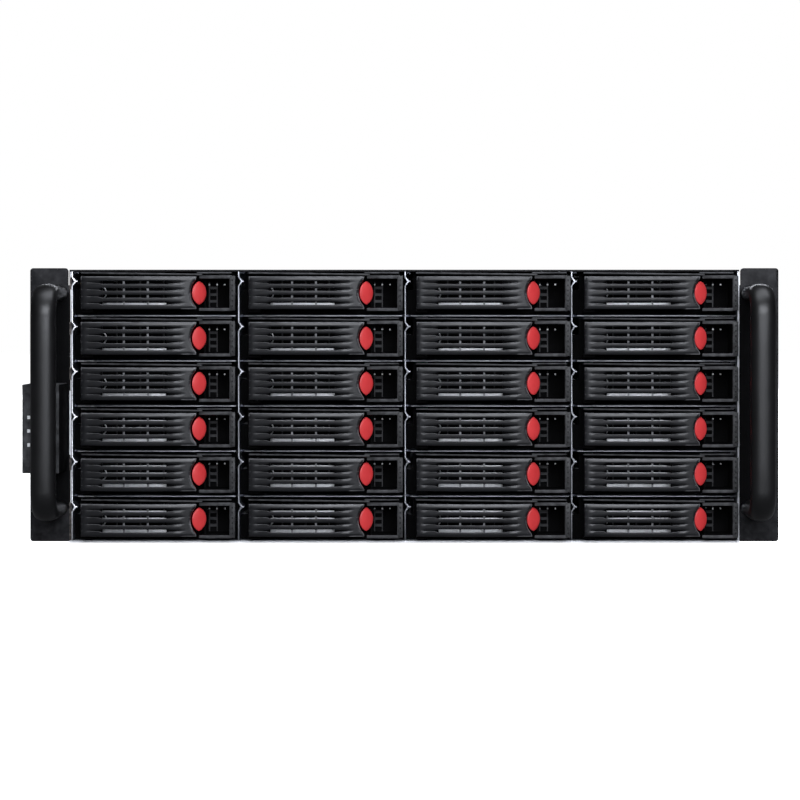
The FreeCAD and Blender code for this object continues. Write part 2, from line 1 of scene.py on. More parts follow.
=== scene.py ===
# %% [markdown]
# # Dressing a rack chassis full of drive trays
# The solids of this chassis are already exact: every bay, lever and hinge has its real size and place.
# This lesson gives them their looks. We load the solids as a fixed frame, make the finishes, build the
# pieces that need finer shapes than the solids have, and end with floor, light and camera.

# %% Load the solids as a fixed frame
import math

import bmesh
import bpy
from mathutils import Euler, Matrix, Vector


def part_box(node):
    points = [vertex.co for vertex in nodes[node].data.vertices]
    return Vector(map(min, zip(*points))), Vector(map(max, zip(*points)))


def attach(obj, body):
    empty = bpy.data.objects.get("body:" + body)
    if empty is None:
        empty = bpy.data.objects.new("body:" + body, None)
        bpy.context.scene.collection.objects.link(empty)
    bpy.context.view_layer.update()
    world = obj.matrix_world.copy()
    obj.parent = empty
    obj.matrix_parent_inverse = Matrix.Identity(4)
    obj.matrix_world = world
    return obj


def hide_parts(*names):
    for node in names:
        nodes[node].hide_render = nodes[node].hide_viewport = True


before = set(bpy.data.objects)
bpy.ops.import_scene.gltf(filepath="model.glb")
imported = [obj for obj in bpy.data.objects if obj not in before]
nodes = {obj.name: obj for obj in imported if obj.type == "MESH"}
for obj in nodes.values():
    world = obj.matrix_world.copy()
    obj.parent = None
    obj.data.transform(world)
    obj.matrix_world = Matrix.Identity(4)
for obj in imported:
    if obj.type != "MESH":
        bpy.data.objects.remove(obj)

MM = 0.001
ROWS, COLS = 6, 4
SIDE_PLAY = 0.4 * MM
FLOOR_PLAY = 0.3 * MM
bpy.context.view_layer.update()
places = [f"r{row}c{col}" for row in range(1, ROWS + 1) for col in range(1, COLS + 1)]
bays = {}
for place in places:
    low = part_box("tray_" + place)[0]
    bays[place] = Vector((low.x - SIDE_PLAY, 0.0, low.z - FLOOR_PLAY))
ROW_PITCH = bays["r1c1"].z - bays["r2c1"].z

# %% [markdown]
# ## Finishes
# A finish is a small node tree on the Principled shader. One flat colour never looks real, so each finish
# mixes two close colours by a noise, lets the roughness wander, and lifts a fine grain with Bump. The
# coordinates are the object's own, in metres: a noise of scale 1000 has features about a millimetre wide.

# %% Node helpers that every finish uses
def start_finish(name, metallic=0.0, gloss=0.5):
    material = bpy.data.materials.new(name)
    material.use_nodes = True
    tree = material.node_tree
    shader = tree.nodes["Principled BSDF"]
    shader.inputs["Metallic"].default_value = metallic
    shader.inputs["Specular IOR Level"].default_value = gloss
    where = tree.nodes.new("ShaderNodeTexCoord").outputs["Object"]
    return material, tree, shader, where


def add_node(tree, kind, links=(), **values):
    node = tree.nodes.new(kind)
    for key, value in values.items():
        setattr(node, key, value)
    for socket, source in links:
        if hasattr(source, "is_output"):
            tree.links.new(source, node.inputs[socket])
        else:
            node.inputs[socket].default_value = source
    return node


def reckon(tree, operation, first, second):
    return add_node(tree, "ShaderNodeMath", [(0, first), (1, second)], operation=operation).outputs[0]


print("node helpers ready")

# %% Noise, stretched noise, spans, two tones and grain
def noise_of(tree, where, scale, detail=3.0):
    node = add_node(tree, "ShaderNodeTexNoise", [("Vector", where), ("Scale", scale), ("Detail", detail)])
    return node.outputs["Fac"]


def stretch(tree, where, scale):
    return add_node(tree, "ShaderNodeMapping", [("Vector", where), ("Scale", scale)]).outputs["Vector"]


def span(tree, value, low, high, start=0.3, stop=0.7):
    node = add_node(tree, "ShaderNodeMapRange", [("Value", value), ("From Min", start), ("From Max", stop),
                                                 ("To Min", low), ("To Max", high)])
    return node.outputs["Result"]


def two_tone(tree, factor, first, second):
    node = add_node(tree, "ShaderNodeMix", data_type="RGBA")
    tree.links.new(factor, node.inputs[0])
    for socket, colour in ((6, first), (7, second)):
        if hasattr(colour, "is_output"):
            tree.links.new(colour, node.inputs[socket])
        else:
            node.inputs[socket].default_value = (*colour, 1.0)
    return node.outputs[2]


def grain(tree, shader, height, strength, distance):
    lift = [("Height", height), ("Strength", strength), ("Distance", distance)]
    bump = add_node(tree, "ShaderNodeBump", lift)
    tree.links.new(bump.outputs["Normal"], shader.inputs["Normal"])


print("texture helpers ready")

# %% [markdown]
# ### Plastics and paints
# Moulded plastic and powder coat differ in grain size and gloss, so one function makes both. Edges that
# hands and tools rub turn paler, and on some edges the same pale colour is a painted highlight: the pieces
# carry a `wear_and_highlight` value on their edges, and the finish reads it.

# %% Plastics and paints
EDGE_MARK_NOISE, EDGE_MARK_LEAST = 220.0, 0.25
GLOSS_NOISE = 140.0
GRAIN_DETAIL, GRAIN_LIFT = 2.0, 0.35


# edge is the pale colour shown where an edge is marked: worn paint or plastic, and on lit edges a painted
# highlight.
def coated(name, dark, light, rough, grain_scale, grain_depth, edge=None, gloss=0.5, blotch=90.0):
    material, tree, shader, where = start_finish(name, gloss=gloss)
    tone = two_tone(tree, span(tree, noise_of(tree, where, blotch), 0.0, 1.0), dark, light)
    if edge:
        worn_or_lit = add_node(tree, "ShaderNodeAttribute", attribute_name="wear_and_highlight").outputs["Fac"]
        patches = span(tree, noise_of(tree, where, EDGE_MARK_NOISE), EDGE_MARK_LEAST, 1.0)
        tone = two_tone(tree, reckon(tree, "MULTIPLY", worn_or_lit, patches), tone, edge)
    tree.links.new(tone, shader.inputs["Base Color"])
    tree.links.new(span(tree, noise_of(tree, where, GLOSS_NOISE), *rough), shader.inputs["Roughness"])
    grain(tree, shader, noise_of(tree, where, grain_scale, GRAIN_DETAIL), GRAIN_LIFT, grain_depth)
    return material


print("rubbed patches are about", round(1 / EDGE_MARK_NOISE / MM, 1), "mm wide")

# %% Blacks of sheets, handles, levers, trays and pod
powder_black = coated("powder_black", dark=(0.0048, 0.0048, 0.0056), light=(0.0061, 0.0061, 0.0072),
                      rough=(0.40, 0.46), grain_scale=1500.0, grain_depth=0.04 * MM,
                      edge=(0.030, 0.030, 0.032), gloss=0.075)
handle_black = coated("handle_black", dark=(0.0014, 0.0014, 0.0017), light=(0.0028, 0.0028, 0.0032),
                      rough=(0.35, 0.42), grain_scale=900.0, grain_depth=0.02 * MM, gloss=0.50)
# The lever's pale edge colour is a painted highlight on the slits' lower lips, the rib beds and the bends.
lever_grey = coated("lever_grey", dark=(0.0066, 0.0067, 0.0078), light=(0.0092, 0.0094, 0.0108),
                    rough=(0.31, 0.38), grain_scale=2600.0, grain_depth=0.012 * MM,
                    edge=(0.230, 0.232, 0.240), gloss=0.42)
tray_black = coated("tray_black", dark=(0.0034, 0.0034, 0.0037), light=(0.0056, 0.0056, 0.0060),
                    rough=(0.46, 0.60), grain_scale=2200.0, grain_depth=0.015 * MM,
                    edge=(0.080, 0.081, 0.085), gloss=0.22)
pod_black = coated("pod_black", dark=(0.0026, 0.0026, 0.0029), light=(0.0042, 0.0042, 0.0046),
                   rough=(0.50, 0.62), grain_scale=2200.0, grain_depth=0.015 * MM,
                   edge=(0.080, 0.081, 0.085), gloss=0.12)
# A darker, matt paint for the ear strip behind each grip: painted shade of the handle.
handle_shade_black = coated("handle_shade_black", dark=(0.0036, 0.0036, 0.0040), light=(0.0048, 0.0048, 0.0053),
                    rough=(0.70, 0.85), grain_scale=2200.0, grain_depth=0.015 * MM, gloss=0.05)
# A darker, matt black as painted shade: faces deep in the tray and under the lever, the grooves, the pod's
# inner side.
painted_shade_black = coated("painted_shade_black", dark=(0.0020, 0.0020, 0.0022), light=(0.0034, 0.0034, 0.0036),
                      rough=(0.80, 0.95), grain_scale=2200.0, grain_depth=0.015 * MM, gloss=0.04)
print("blacks:", powder_black.name, "to", painted_shade_black.name)

# %% Greys, red, fans, sockets and lenses
grille_grey = coated("grille_grey", dark=(0.008, 0.008, 0.009), light=(0.026, 0.026, 0.028),
                     rough=(0.45, 0.60), grain_scale=1900.0, grain_depth=0.015 * MM, gloss=0.25,
                     blotch=300.0)
strip_grey = coated("strip_grey", dark=(0.010, 0.010, 0.0105), light=(0.052, 0.053, 0.055),
                    rough=(0.40, 0.60), grain_scale=1800.0, grain_depth=0.03 * MM, gloss=0.3, blotch=520.0)
key_red = coated("key_red", dark=(0.70, 0.044, 0.047), light=(0.78, 0.056, 0.059), rough=(0.34, 0.46),
                 grain_scale=2400.0, grain_depth=0.010 * MM, edge=(0.74, 0.16, 0.16), gloss=0.4)
fan_black = coated("fan_black", dark=(0.009, 0.009, 0.010), light=(0.014, 0.014, 0.015),
                   rough=(0.40, 0.55), grain_scale=2000.0, grain_depth=0.02 * MM, edge=(0.05, 0.05, 0.05))
socket_black = coated("socket_black", dark=(0.010, 0.010, 0.011), light=(0.016, 0.016, 0.017),
                      rough=(0.35, 0.5), grain_scale=3000.0, grain_depth=0.01 * MM)
lens_smoky = coated("lens_smoky", dark=(0.010, 0.010, 0.012), light=(0.020, 0.020, 0.023),
                    rough=(0.18, 0.28), grain_scale=1200.0, grain_depth=0.008 * MM, gloss=0.3)
lens_milky = coated("lens_milky", dark=(0.78, 0.80, 0.80), light=(0.90, 0.92, 0.92),
                    rough=(0.18, 0.28), grain_scale=1200.0, grain_depth=0.008 * MM)
print("other coats:", grille_grey.name, "to", lens_milky.name)

# %% [markdown]
# ### Sheet steel and brass
# Zinc-coated sheet shows pale crystals, the spangle, and faint lines from the rolling mill. A Voronoi
# texture gives the crystals, and a noise stretched along the sheet gives the lines. Zinc dulls in air, so
# its shader is set between metal and paint. Steel, brass and gold come from the same function, with other
# colours and finer crystals.

# %% Crystals and rolling lines
SPANGLE = (0.05, 0.6)
LINE_DETAIL, LINE_LIFT = 2.0, 0.25


def crystals(tree, where, scale, line_scale, dark, light):
    cells = add_node(tree, "ShaderNodeTexVoronoi", [("Vector", where), ("Scale", scale)])
    lines = noise_of(tree, stretch(tree, where, line_scale), 1.0, LINE_DETAIL)
    both = reckon(tree, "MULTIPLY", cells.outputs["Color"], lines)
    return two_tone(tree, span(tree, both, 0.0, 1.0, *SPANGLE), dark, light), lines


def metal(name, dark, light, rough, crystal_scale, line_scale, depth, dress=None, metallic=1.0):
    material, tree, shader, where = start_finish(name, metallic=metallic)
    tone, lines = crystals(tree, where, crystal_scale, line_scale, dark, light)
    if dress:
        tone = dress(tree, where, tone)
    tree.links.new(tone, shader.inputs["Base Color"])
    tree.links.new(span(tree, lines, *rough), shader.inputs["Roughness"])
    grain(tree, shader, lines, LINE_LIFT, depth)
    return material


print("crystals show between", *SPANGLE)

# %% [markdown]
# Where a sheet was cut, the bare steel shines. The front edges of cage and tub are such cuts. Strips of
# their own would show that too, but a finish that turns bright in front of a plane just behind the face
# needs no more pieces. Only the left wall's cuts are bright; the cuts of the inner walls get a dimmer grey
# as painted shade. The tub's left edge has paint along its outer side and beside every strike, but for a
# bare stretch beside the pod. Its right edge gets a dimmer grey as painted shade.

# %% Bright cuts of the cage
FACE = -2.35 * MM
LEFT_WALL = -200.0 * MM
CUT_BRIGHT = (0.90, 0.91, 0.93)
# The inner walls' cuts get this dimmer grey as painted shade.
CUT_SHADED = (0.36, 0.37, 0.39)
FLECK_NOISE, FLECK_LEAST = 900.0, 0.55


def cut_front(tree, where, tone):
    place = add_node(tree, "ShaderNodeSeparateXYZ", [("Vector", where)]).outputs
    flecks = span(tree, noise_of(tree, where, FLECK_NOISE), FLECK_LEAST, 1.0)
    front = reckon(tree, "LESS_THAN", place["Y"], FACE)
    cut = two_tone(tree, reckon(tree, "LESS_THAN", place["X"], LEFT_WALL), CUT_SHADED, CUT_BRIGHT)
    return two_tone(tree, reckon(tree, "MULTIPLY", front, flecks), tone, cut)


print("cuts lie in front of y =", round(FACE / MM, 2), "mm")

# %% Painted edges of the tub
LIP_TOP = 1.4 * MM
BARE_LOW, BARE_HIGH = 56.6 * MM, 98.0 * MM
# The tub's right edge gets this dimmer grey as painted shade.
RIGHT_CUT_SHADED = (0.50, 0.51, 0.53)
EDGE_PAINT = (0.012, 0.010, 0.009)
EDGE_SCUFF = (0.150, 0.130, 0.118)
SCUFF_LOW = 17.7 * MM
SCUFF_TALL = 8.0 * MM
SCUFF_NOISE = 500.0
PAINT_WIDE = 0.75 * MM
tub_low, tub_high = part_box("chassis_tub")


def painted_sides(tree, where, tone):
    place = add_node(tree, "ShaderNodeSeparateXYZ", [("Vector", where)]).outputs
    front = reckon(tree, "LESS_THAN", place["Y"], FACE)
    upright = reckon(tree, "GREATER_THAN", place["Z"], LIP_TOP)
    left = reckon(tree, "LESS_THAN", place["X"], 0.0)
    above = reckon(tree, "GREATER_THAN", place["Z"], BARE_LOW)
    below = reckon(tree, "LESS_THAN", place["Z"], BARE_HIGH)
    bare = reckon(tree, "MULTIPLY", left, reckon(tree, "MULTIPLY", above, below))
    painted = reckon(tree, "SUBTRACT", upright, bare)
    climb = reckon(tree, "MODULO", reckon(tree, "SUBTRACT", place["Z"], SCUFF_LOW), ROW_PITCH)
    at_strike = reckon(tree, "LESS_THAN", climb, SCUFF_TALL)
    patches = span(tree, noise_of(tree, where, SCUFF_NOISE), 0.0, 1.0)
    paint = two_tone(tree, reckon(tree, "MULTIPLY", at_strike, patches), EDGE_PAINT, EDGE_SCUFF)
    outer = reckon(tree, "LESS_THAN", place["X"], tub_low.x + PAINT_WIDE)
    left_edge = two_tone(tree, reckon(tree, "MAXIMUM", outer, at_strike), CUT_BRIGHT, paint)
    side_edge = two_tone(tree, left, RIGHT_CUT_SHADED, left_edge)
    return two_tone(tree, front, tone, two_tone(tree, painted, CUT_BRIGHT, side_edge))


print("outer sides of the tub:", round(tub_low.x / MM, 1), round(tub_high.x / MM, 1))

# %% The metals
ROLLED = (900, 18, 900)
ZINC = dict(dark=(0.46, 0.47, 0.49), light=(0.62, 0.63, 0.65), rough=(0.28, 0.44), crystal_scale=140.0,
            line_scale=ROLLED, depth=0.01 * MM, metallic=0.6)
zinc_sheet = metal("zinc_sheet", **ZINC)
tub_sheet = metal("tub_sheet", dress=painted_sides, **ZINC)
# The cage's sheets are darker and bluer than the zinc sheet: painted shade for the inside of the cage.
cage_sheet_shaded = metal("cage_sheet_shaded", dark=(0.16, 0.17, 0.20), light=(0.26, 0.27, 0.31), rough=(0.34, 0.50),
                   crystal_scale=260.0, line_scale=ROLLED, depth=0.008 * MM, dress=cut_front)
bright_steel = metal("bright_steel", dark=(0.56, 0.57, 0.58), light=(0.74, 0.74, 0.75), rough=(0.42, 0.56),
                     crystal_scale=500.0, line_scale=(60, 900, 900), depth=0.004 * MM)
screw_zinc = metal("screw_zinc", dark=(0.55, 0.55, 0.56), light=(0.76, 0.76, 0.77), rough=(0.24, 0.38),
                   crystal_scale=700.0, line_scale=(800, 800, 800), depth=0.004 * MM)
turned_brass = metal("turned_brass", dark=(0.56, 0.40, 0.15), light=(0.72, 0.54, 0.24), rough=(0.22, 0.36),
                     crystal_scale=600.0, line_scale=(200, 200, 2400), depth=0.006 * MM)
contact_gold = metal("contact_gold", dark=(0.66, 0.46, 0.13), light=(0.82, 0.62, 0.24), rough=(0.20, 0.32),
                     crystal_scale=900.0, line_scale=(300, 300, 300), depth=0.003 * MM)
print("metals:", zinc_sheet.name, "to", contact_gold.name)

# %% [markdown]
# ### Circuit board
# Solder resist over copper: dark green laminate with paler tracks. A Brick texture turned on its side makes
# a believable maze of tracks at this distance, and a second one of another scale breaks its rhythm.

# %% Circuit board
TRACKS = ((170.0, 0.07), (61.0, 0.035))
BLACK, WHITE = (0, 0, 0, 1), (1, 1, 1, 1)
RESIST, COPPER = (0.012, 0.075, 0.040), (0.030, 0.150, 0.085)
BOARD_NOISE, BOARD_ROUGH = 300.0, (0.22, 0.36)
TRACK_LIFT, TRACK_HIGH = 0.3, 0.03 * MM


def board_finish():
    material, tree, shader, where = start_finish("board_green")
    flat = stretch(tree, where, (1, 1, 1))
    flat.node.inputs["Rotation"].default_value = (math.radians(90), 0, 0)
    tracks = []
    for scale, mortar in TRACKS:
        bricks = [("Vector", flat), ("Scale", scale), ("Mortar Size", mortar), ("Color1", BLACK),
                  ("Color2", BLACK), ("Mortar", WHITE)]
        tracks.append(add_node(tree, "ShaderNodeTexBrick", bricks).outputs["Color"])
    maze = reckon(tree, "MAXIMUM", *tracks)
    tree.links.new(two_tone(tree, maze, RESIST, COPPER), shader.inputs["Base Color"])
    tree.links.new(span(tree, noise_of(tree, where, BOARD_NOISE), *BOARD_ROUGH), shader.inputs["Roughness"])
    grain(tree, shader, maze, TRACK_LIFT, TRACK_HIGH)
    return material


board_green = board_finish()
print("board finish:", board_green.name)

# %% [markdown]
# ## Making and placing pieces
# A finished piece sits at the origin and has its place in its mesh, as the solids have. `put` makes the
# object, lets it ride on its body and hides the solids that it stands for. `merged` joins meshes into one
# piece and keeps their finishes apart.

# %% Helpers that place, shade and join
def put(mesh, name, body, slot, *stands_for):
    piece = bpy.data.objects.new(name, mesh)
    bpy.context.scene.collection.objects.link(piece)
    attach(piece, body)
    if stands_for:
        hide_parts(*stands_for)
    return piece


def shade(mesh, angle=35.0):
    mesh.shade_smooth()
    mesh.set_sharp_from_angle(angle=math.radians(angle))
    return mesh


def finish_mesh(bm, name, *finishes, angle=35.0):
    mesh = bpy.data.meshes.new(name)
    bm.to_mesh(mesh)
    bm.free()
    for finish in finishes:
        mesh.materials.append(finish)
    return shade(mesh, angle)


def merged(name, *meshes):
    bm = bmesh.new()
    finishes = []
    for mesh in meshes:
        known = len(bm.faces)
        bm.from_mesh(mesh)
        bm.faces.ensure_lookup_table()
        finishes += [finish for finish in mesh.materials if finish not in finishes]
        for face in bm.faces[known:]:
            face.material_index = finishes.index(mesh.materials[face.material_index])
    return finish_mesh(bm, name, *finishes)


print("placing helpers ready")

# %% [markdown]
# A solid comes as loose triangles, so a copy is welded first, and flat triangles are joined into faces. Then
# its edges get a small rounding, because no moulded or folded edge is perfectly sharp. A Bevel modifier
# could do that, but bmesh also tells us which corners it made: they get the `wear_and_highlight` value,
# which the finishes show as a pale edge, partly wear and partly painted highlight.

# %% Copy a solid, or some islands of it
WELD = 0.002 * MM
FLAT_ANGLE = math.radians(0.5)


def islands(bm):
    left = set(bm.verts)
    while left:
        found = {left.pop()}
        ahead = list(found)
        while ahead:
            for e in ahead.pop().link_edges:
                for v in e.verts:
                    if v in left:
                        left.remove(v)
                        found.add(v)
                        ahead.append(v)
        yield found


def solid_copy(node, keep=lambda size, low: True, skip=lambda face: False):
    bm = bmesh.new()
    bm.from_mesh(nodes[node].data)
    bmesh.ops.delete(bm, geom=[face for face in bm.faces if skip(face)], context="FACES")
    bmesh.ops.remove_doubles(bm, verts=bm.verts, dist=WELD)
    spare = []
    for group in islands(bm):
        low = Vector([min(v.co[k] for v in group) for k in range(3)])
        size = Vector([max(v.co[k] for v in group) for k in range(3)]) - low
        if not keep(size, low):
            spare += group
    bmesh.ops.delete(bm, geom=spare, context="VERTS")
    bmesh.ops.dissolve_limit(bm, angle_limit=FLAT_ANGLE, verts=bm.verts, edges=bm.edges)
    return bm


print("points closer than", round(WELD / MM, 3), "mm are welded")

# %% Round the edges of a copy
SHARP_ANGLE = math.radians(30)


def round_edges(bm, radius, segments=2, pick=lambda e: True):
    wear_and_highlight = bm.verts.layers.float.get("wear_and_highlight") or bm.verts.layers.float.new("wear_and_highlight")
    folds = [e for e in bm.edges if len(e.link_faces) == 2 and e.calc_face_angle() > SHARP_ANGLE]
    sharp = [e for e in folds if pick(e)]
    made = bmesh.ops.bevel(bm, geom=sharp, offset=radius, segments=segments, profile=0.5, affect="EDGES")
    for v in made["verts"]:
        v[wear_and_highlight] = 1.0


def softened(node, name, material, radius, keep=lambda size, low: True):
    bm = solid_copy(node, keep)
    round_edges(bm, radius)
    return finish_mesh(bm, name, material)


print("folds of more than", round(math.degrees(SHARP_ANGLE)), "degrees are rounded")

# %% [markdown]
# ## Small things that repeat
# Screws, grille bars, contacts and knurls come in dozens. Geometry Nodes suit them: one tree makes the
# shape once and sets it on points or on a grid, and its named inputs give count, pitch and size. Instances
# would get lost in an export, so each tree ends by making them real and giving them their finish, and `grow`
# takes the result as a plain mesh.

# %% Start, end and run a tree
def start_tree(name, *inputs):
    tree = bpy.data.node_groups.new(name, "GeometryNodeTree")
    for label, kind in inputs:
        tree.interface.new_socket(name=label, in_out="INPUT", socket_type="NodeSocket" + kind)
    tree.interface.new_socket(name="Geometry", in_out="OUTPUT", socket_type="NodeSocketGeometry")
    return tree, tree.nodes.new("NodeGroupInput").outputs


def end_tree(tree, instances, finish):
    real = add_node(tree, "GeometryNodeRealizeInstances", [("Geometry", instances)]).outputs[0]
    dressed = add_node(tree, "GeometryNodeSetMaterial", [("Geometry", real), ("Material", finish)])
    add_node(tree, "NodeGroupOutput", [("Geometry", dressed.outputs[0])])
    return tree


def grow(tree, name, values, points=(), turn=(0, 0, 0), move=(0, 0, 0)):
    seed_mesh = bpy.data.meshes.new(name)
    seed_mesh.from_pydata([tuple(p) for p in points], [], [])
    maker = bpy.data.objects.new(name, seed_mesh)
    bpy.context.scene.collection.objects.link(maker)
    modifier = maker.modifiers.new(name, "NODES")
    modifier.node_group = tree
    for item in tree.interface.items_tree:
        if item.in_out == "INPUT" and item.name in values:
            modifier[item.identifier] = values[item.name]
    seen = maker.evaluated_get(bpy.context.evaluated_depsgraph_get())
    grown = bpy.data.meshes.new_from_object(seen)
    bpy.data.objects.remove(maker)
    grown.transform(Matrix.Translation(move) @ Euler([math.radians(a) for a in turn]).to_matrix().to_4x4())
    return shade(grown)


print("tree helpers ready")

# %% [markdown]
# A screw is a low cone with a cross cut into it. The tree cuts the cross once, and turns every screw by a
# random angle from a fixed seed, because no two screws stop at the same angle.

# %% Tree of screws on points
HEAD_SIDES, HEAD_TAPER = 14, 0.72
CROSS_LONG, CROSS_THIN = 1.1, 0.26


def screw_tree():
    tree, have = start_tree("screws_on_points", ("Points", "Geometry"), ("Radius", "Float"),
                            ("Height", "Float"), ("Facing", "Vector"), ("Seed", "Int"),
                            ("Finish", "Material"))
    radius, height = have["Radius"], have["Height"]
    top = reckon(tree, "MULTIPLY", radius, HEAD_TAPER)
    cone = [("Vertices", HEAD_SIDES), ("Radius Bottom", radius), ("Depth", height), ("Radius Top", top)]
    head = add_node(tree, "GeometryNodeMeshCone", cone).outputs[0]
    wide, thin = [reckon(tree, "MULTIPLY", radius, share) for share in (CROSS_LONG, CROSS_THIN)]
    up = add_node(tree, "ShaderNodeCombineXYZ", [("Z", height)]).outputs[0]
    cross = []
    for x, y in ((wide, thin), (thin, wide)):
        size = add_node(tree, "ShaderNodeCombineXYZ", [("X", x), ("Y", y), ("Z", height)]).outputs[0]
        bar = add_node(tree, "GeometryNodeMeshCube", [("Size", size)]).outputs[0]
        arm = add_node(tree, "GeometryNodeTransform", [("Geometry", bar), ("Translation", up)])
        cross.append(("Mesh 2", arm.outputs[0]))
    screw = add_node(tree, "GeometryNodeMeshBoolean", [("Mesh 1", head), *cross], operation="DIFFERENCE")
    spin = add_node(tree, "FunctionNodeRandomValue", [(1, (0, 0, 2 * math.pi)), ("Seed", have["Seed"])],
                    data_type="FLOAT_VECTOR").outputs[0]
    turns = [add_node(tree, "FunctionNodeEulerToRotation", [(0, angle)]).outputs[0]
             for angle in (have["Facing"], spin)]
    turned = add_node(tree, "FunctionNodeRotateRotation", list(enumerate(turns)), rotation_space="LOCAL")
    placed = add_node(tree, "GeometryNodeInstanceOnPoints",
                      [("Points", have["Points"]), ("Instance", screw.outputs[0]),
                       ("Rotation", turned.outputs[0])])
    return end_tree(tree, placed.outputs[0], have["Finish"])


screws_on_points = screw_tree()
print("tree:", screws_on_points.name)

# %% [markdown]
# Grille bars, contacts and dimples sit on a regular grid, so their tree takes counts and pitches.

# %% Tree of bars on a grid
def grid_tree():
    tree, have = start_tree("bars_on_grid", ("Across", "Int"), ("Along", "Int"), ("Pitch Across", "Float"),
                            ("Pitch Along", "Float"), ("Bar", "Vector"), ("Finish", "Material"))
    sides = []
    for count in ("Across", "Along"):
        gaps = reckon(tree, "SUBTRACT", have[count], 1.0)
        sides.append(reckon(tree, "MULTIPLY", gaps, have["Pitch " + count]))
    grid = add_node(tree, "GeometryNodeMeshGrid",
                    [("Size X", sides[0]), ("Size Y", sides[1]), ("Vertices X", have["Across"]),
                     ("Vertices Y", have["Along"])])
    bar = add_node(tree, "GeometryNodeMeshCube", [("Size", have["Bar"])])
    placed = add_node(tree, "GeometryNodeInstanceOnPoints",
                      [("Points", grid.outputs[0]), ("Instance", bar.outputs[0])])
    return end_tree(tree, placed.outputs[0], have["Finish"])


bars_on_grid = grid_tree()
print("tree:", bars_on_grid.name)

# %% [markdown]
# A knurl is a ring of ridges: the points of a circle, each with a bar turned by its own share of the round.

# %% Tree of ridges on a ring
def ring_tree():
    tree, have = start_tree("ridges_on_ring", ("Ridges", "Int"), ("Radius", "Float"), ("Ridge", "Vector"),
                            ("Finish", "Material"))
    ring = [("Vertices", have["Ridges"]), ("Radius", have["Radius"])]
    circle = add_node(tree, "GeometryNodeMeshCircle", ring)
    share = reckon(tree, "DIVIDE", 2 * math.pi, have["Ridges"])
    index = add_node(tree, "GeometryNodeInputIndex").outputs[0]
    angle = reckon(tree, "MULTIPLY", share, index)
    about = add_node(tree, "ShaderNodeCombineXYZ", [("Z", angle)]).outputs[0]
    turn = add_node(tree, "FunctionNodeEulerToRotation", [(0, about)]).outputs[0]
    ridge = add_node(tree, "GeometryNodeMeshCube", [("Size", have["Ridge"])])
    placed = add_node(tree, "GeometryNodeInstanceOnPoints",
                      [("Points", circle.outputs[0]), ("Instance", ridge.outputs[0]), ("Rotation", turn)])
    return end_tree(tree, placed.outputs[0], have["Finish"])


ridges_on_ring = ring_tree()
print("tree:", ridges_on_ring.name)

# %% [markdown]
# ## Trays
# A tray is a black moulded front with a finger pocket, on two steel rails with a tie behind the drive. All
# trays are alike, so we build the top left one and stamp its meshes into the other bays. Inside a bay, u
# runs to the right, y to the rear and z up, from the bay's lower left corner.

# %% Places in a bay, stamps and bars
corner = bays["r1c1"]
first_tray = "tray_r1c1"


def in_bay(u, y, z):
    return corner + Vector((u, y, z))


def stamp(mesh, place, start="r1c1"):
    moved = mesh.copy()
    moved.transform(Matrix.Translation(bays[place] - bays[start]))
    return moved


def add_block(bm, low, high):
    size = Vector(high) - Vector(low)
    middle = Matrix.Translation((Vector(high) + Vector(low)) / 2)
    return bmesh.ops.create_cube(bm, size=1.0, matrix=middle @ Matrix.Diagonal((*size, 1.0)))["verts"]


def add_bar(bm, low, high, radius):
    edges = list({e for v in add_block(bm, low, high) for e in v.link_edges})
    bmesh.ops.bevel(bm, geom=edges, offset=radius, segments=2, profile=0.5, affect="EDGES")


print("first bay's corner:", [round(value / MM, 1) for value in corner])

# %% [markdown]
# The solid holds the front's shape already, so the front is a copy of it with rounded edges. The rails touch
# it, so we leave their faces out. Some corners move by a millimetre or two: the foot rises, the brow over
# the lever rises and runs on above the pocket, and the pocket's frame reaches further to the left. Faces
# deep in the tray, and those low under the lever's plate, get a darker, matt black as painted shade. The
# frame's upper end beside the key gets no pale edge, neither wear nor painted highlight.

# %% Faces of the tray front
HAIR = 0.01 * MM
FACING = 0.9


def mm(*sizes):
    return tuple(size * MM for size in sizes)


FRONT_LEAST, POCKET_REAR, RAIL_FRONT = mm(60.0, 12.0, 9.0)
RECESS_Y, UNDER_PLATE = mm(-9.5, 3.4)


def is_front(size, low):
    return size.x > FRONT_LEAST and low.y < 0


def is_rail(face):
    behind = any(v.co.y > POCKET_REAR for v in face.verts)
    end = face.normal.y < -FACING and all(abs(v.co.y - RAIL_FRONT) < HAIR for v in face.verts)
    return behind or end


# Faces deep in the tray and under the plate get the darker black as painted shade.
def darken_recess(mesh):
    mesh.materials.append(painted_shade_black)
    for face in mesh.polygons:
        middle = face.center - corner
        if middle.y > RECESS_Y or middle.z < UNDER_PLATE:
            face.material_index = 1


print("triangles of the tray's solid:", len(nodes[first_tray].data.polygons))

# %% Tray front with moved corners
LUG_FRONT, LUG_LOW, LUG_RAISE = mm(-10.0, 1.0, 1.4)
BROW_LOW, BROW_MID, BROW_RIGHT = mm(25.0, 26.0, 83.0)
BROW_RAISE = mm(1.5, 1.0)
BROW_END = mm(81.0, -10.85, 25.1), mm(103.2, 5.5, 26.62)
FRAME_FRONT, FRAME_LEFT, FRAME_REACH = mm(-12.5, 85.0, 1.9)
UNMARKED = mm(25.0, 26.0)
FRONT_ROUND = 0.35 * MM


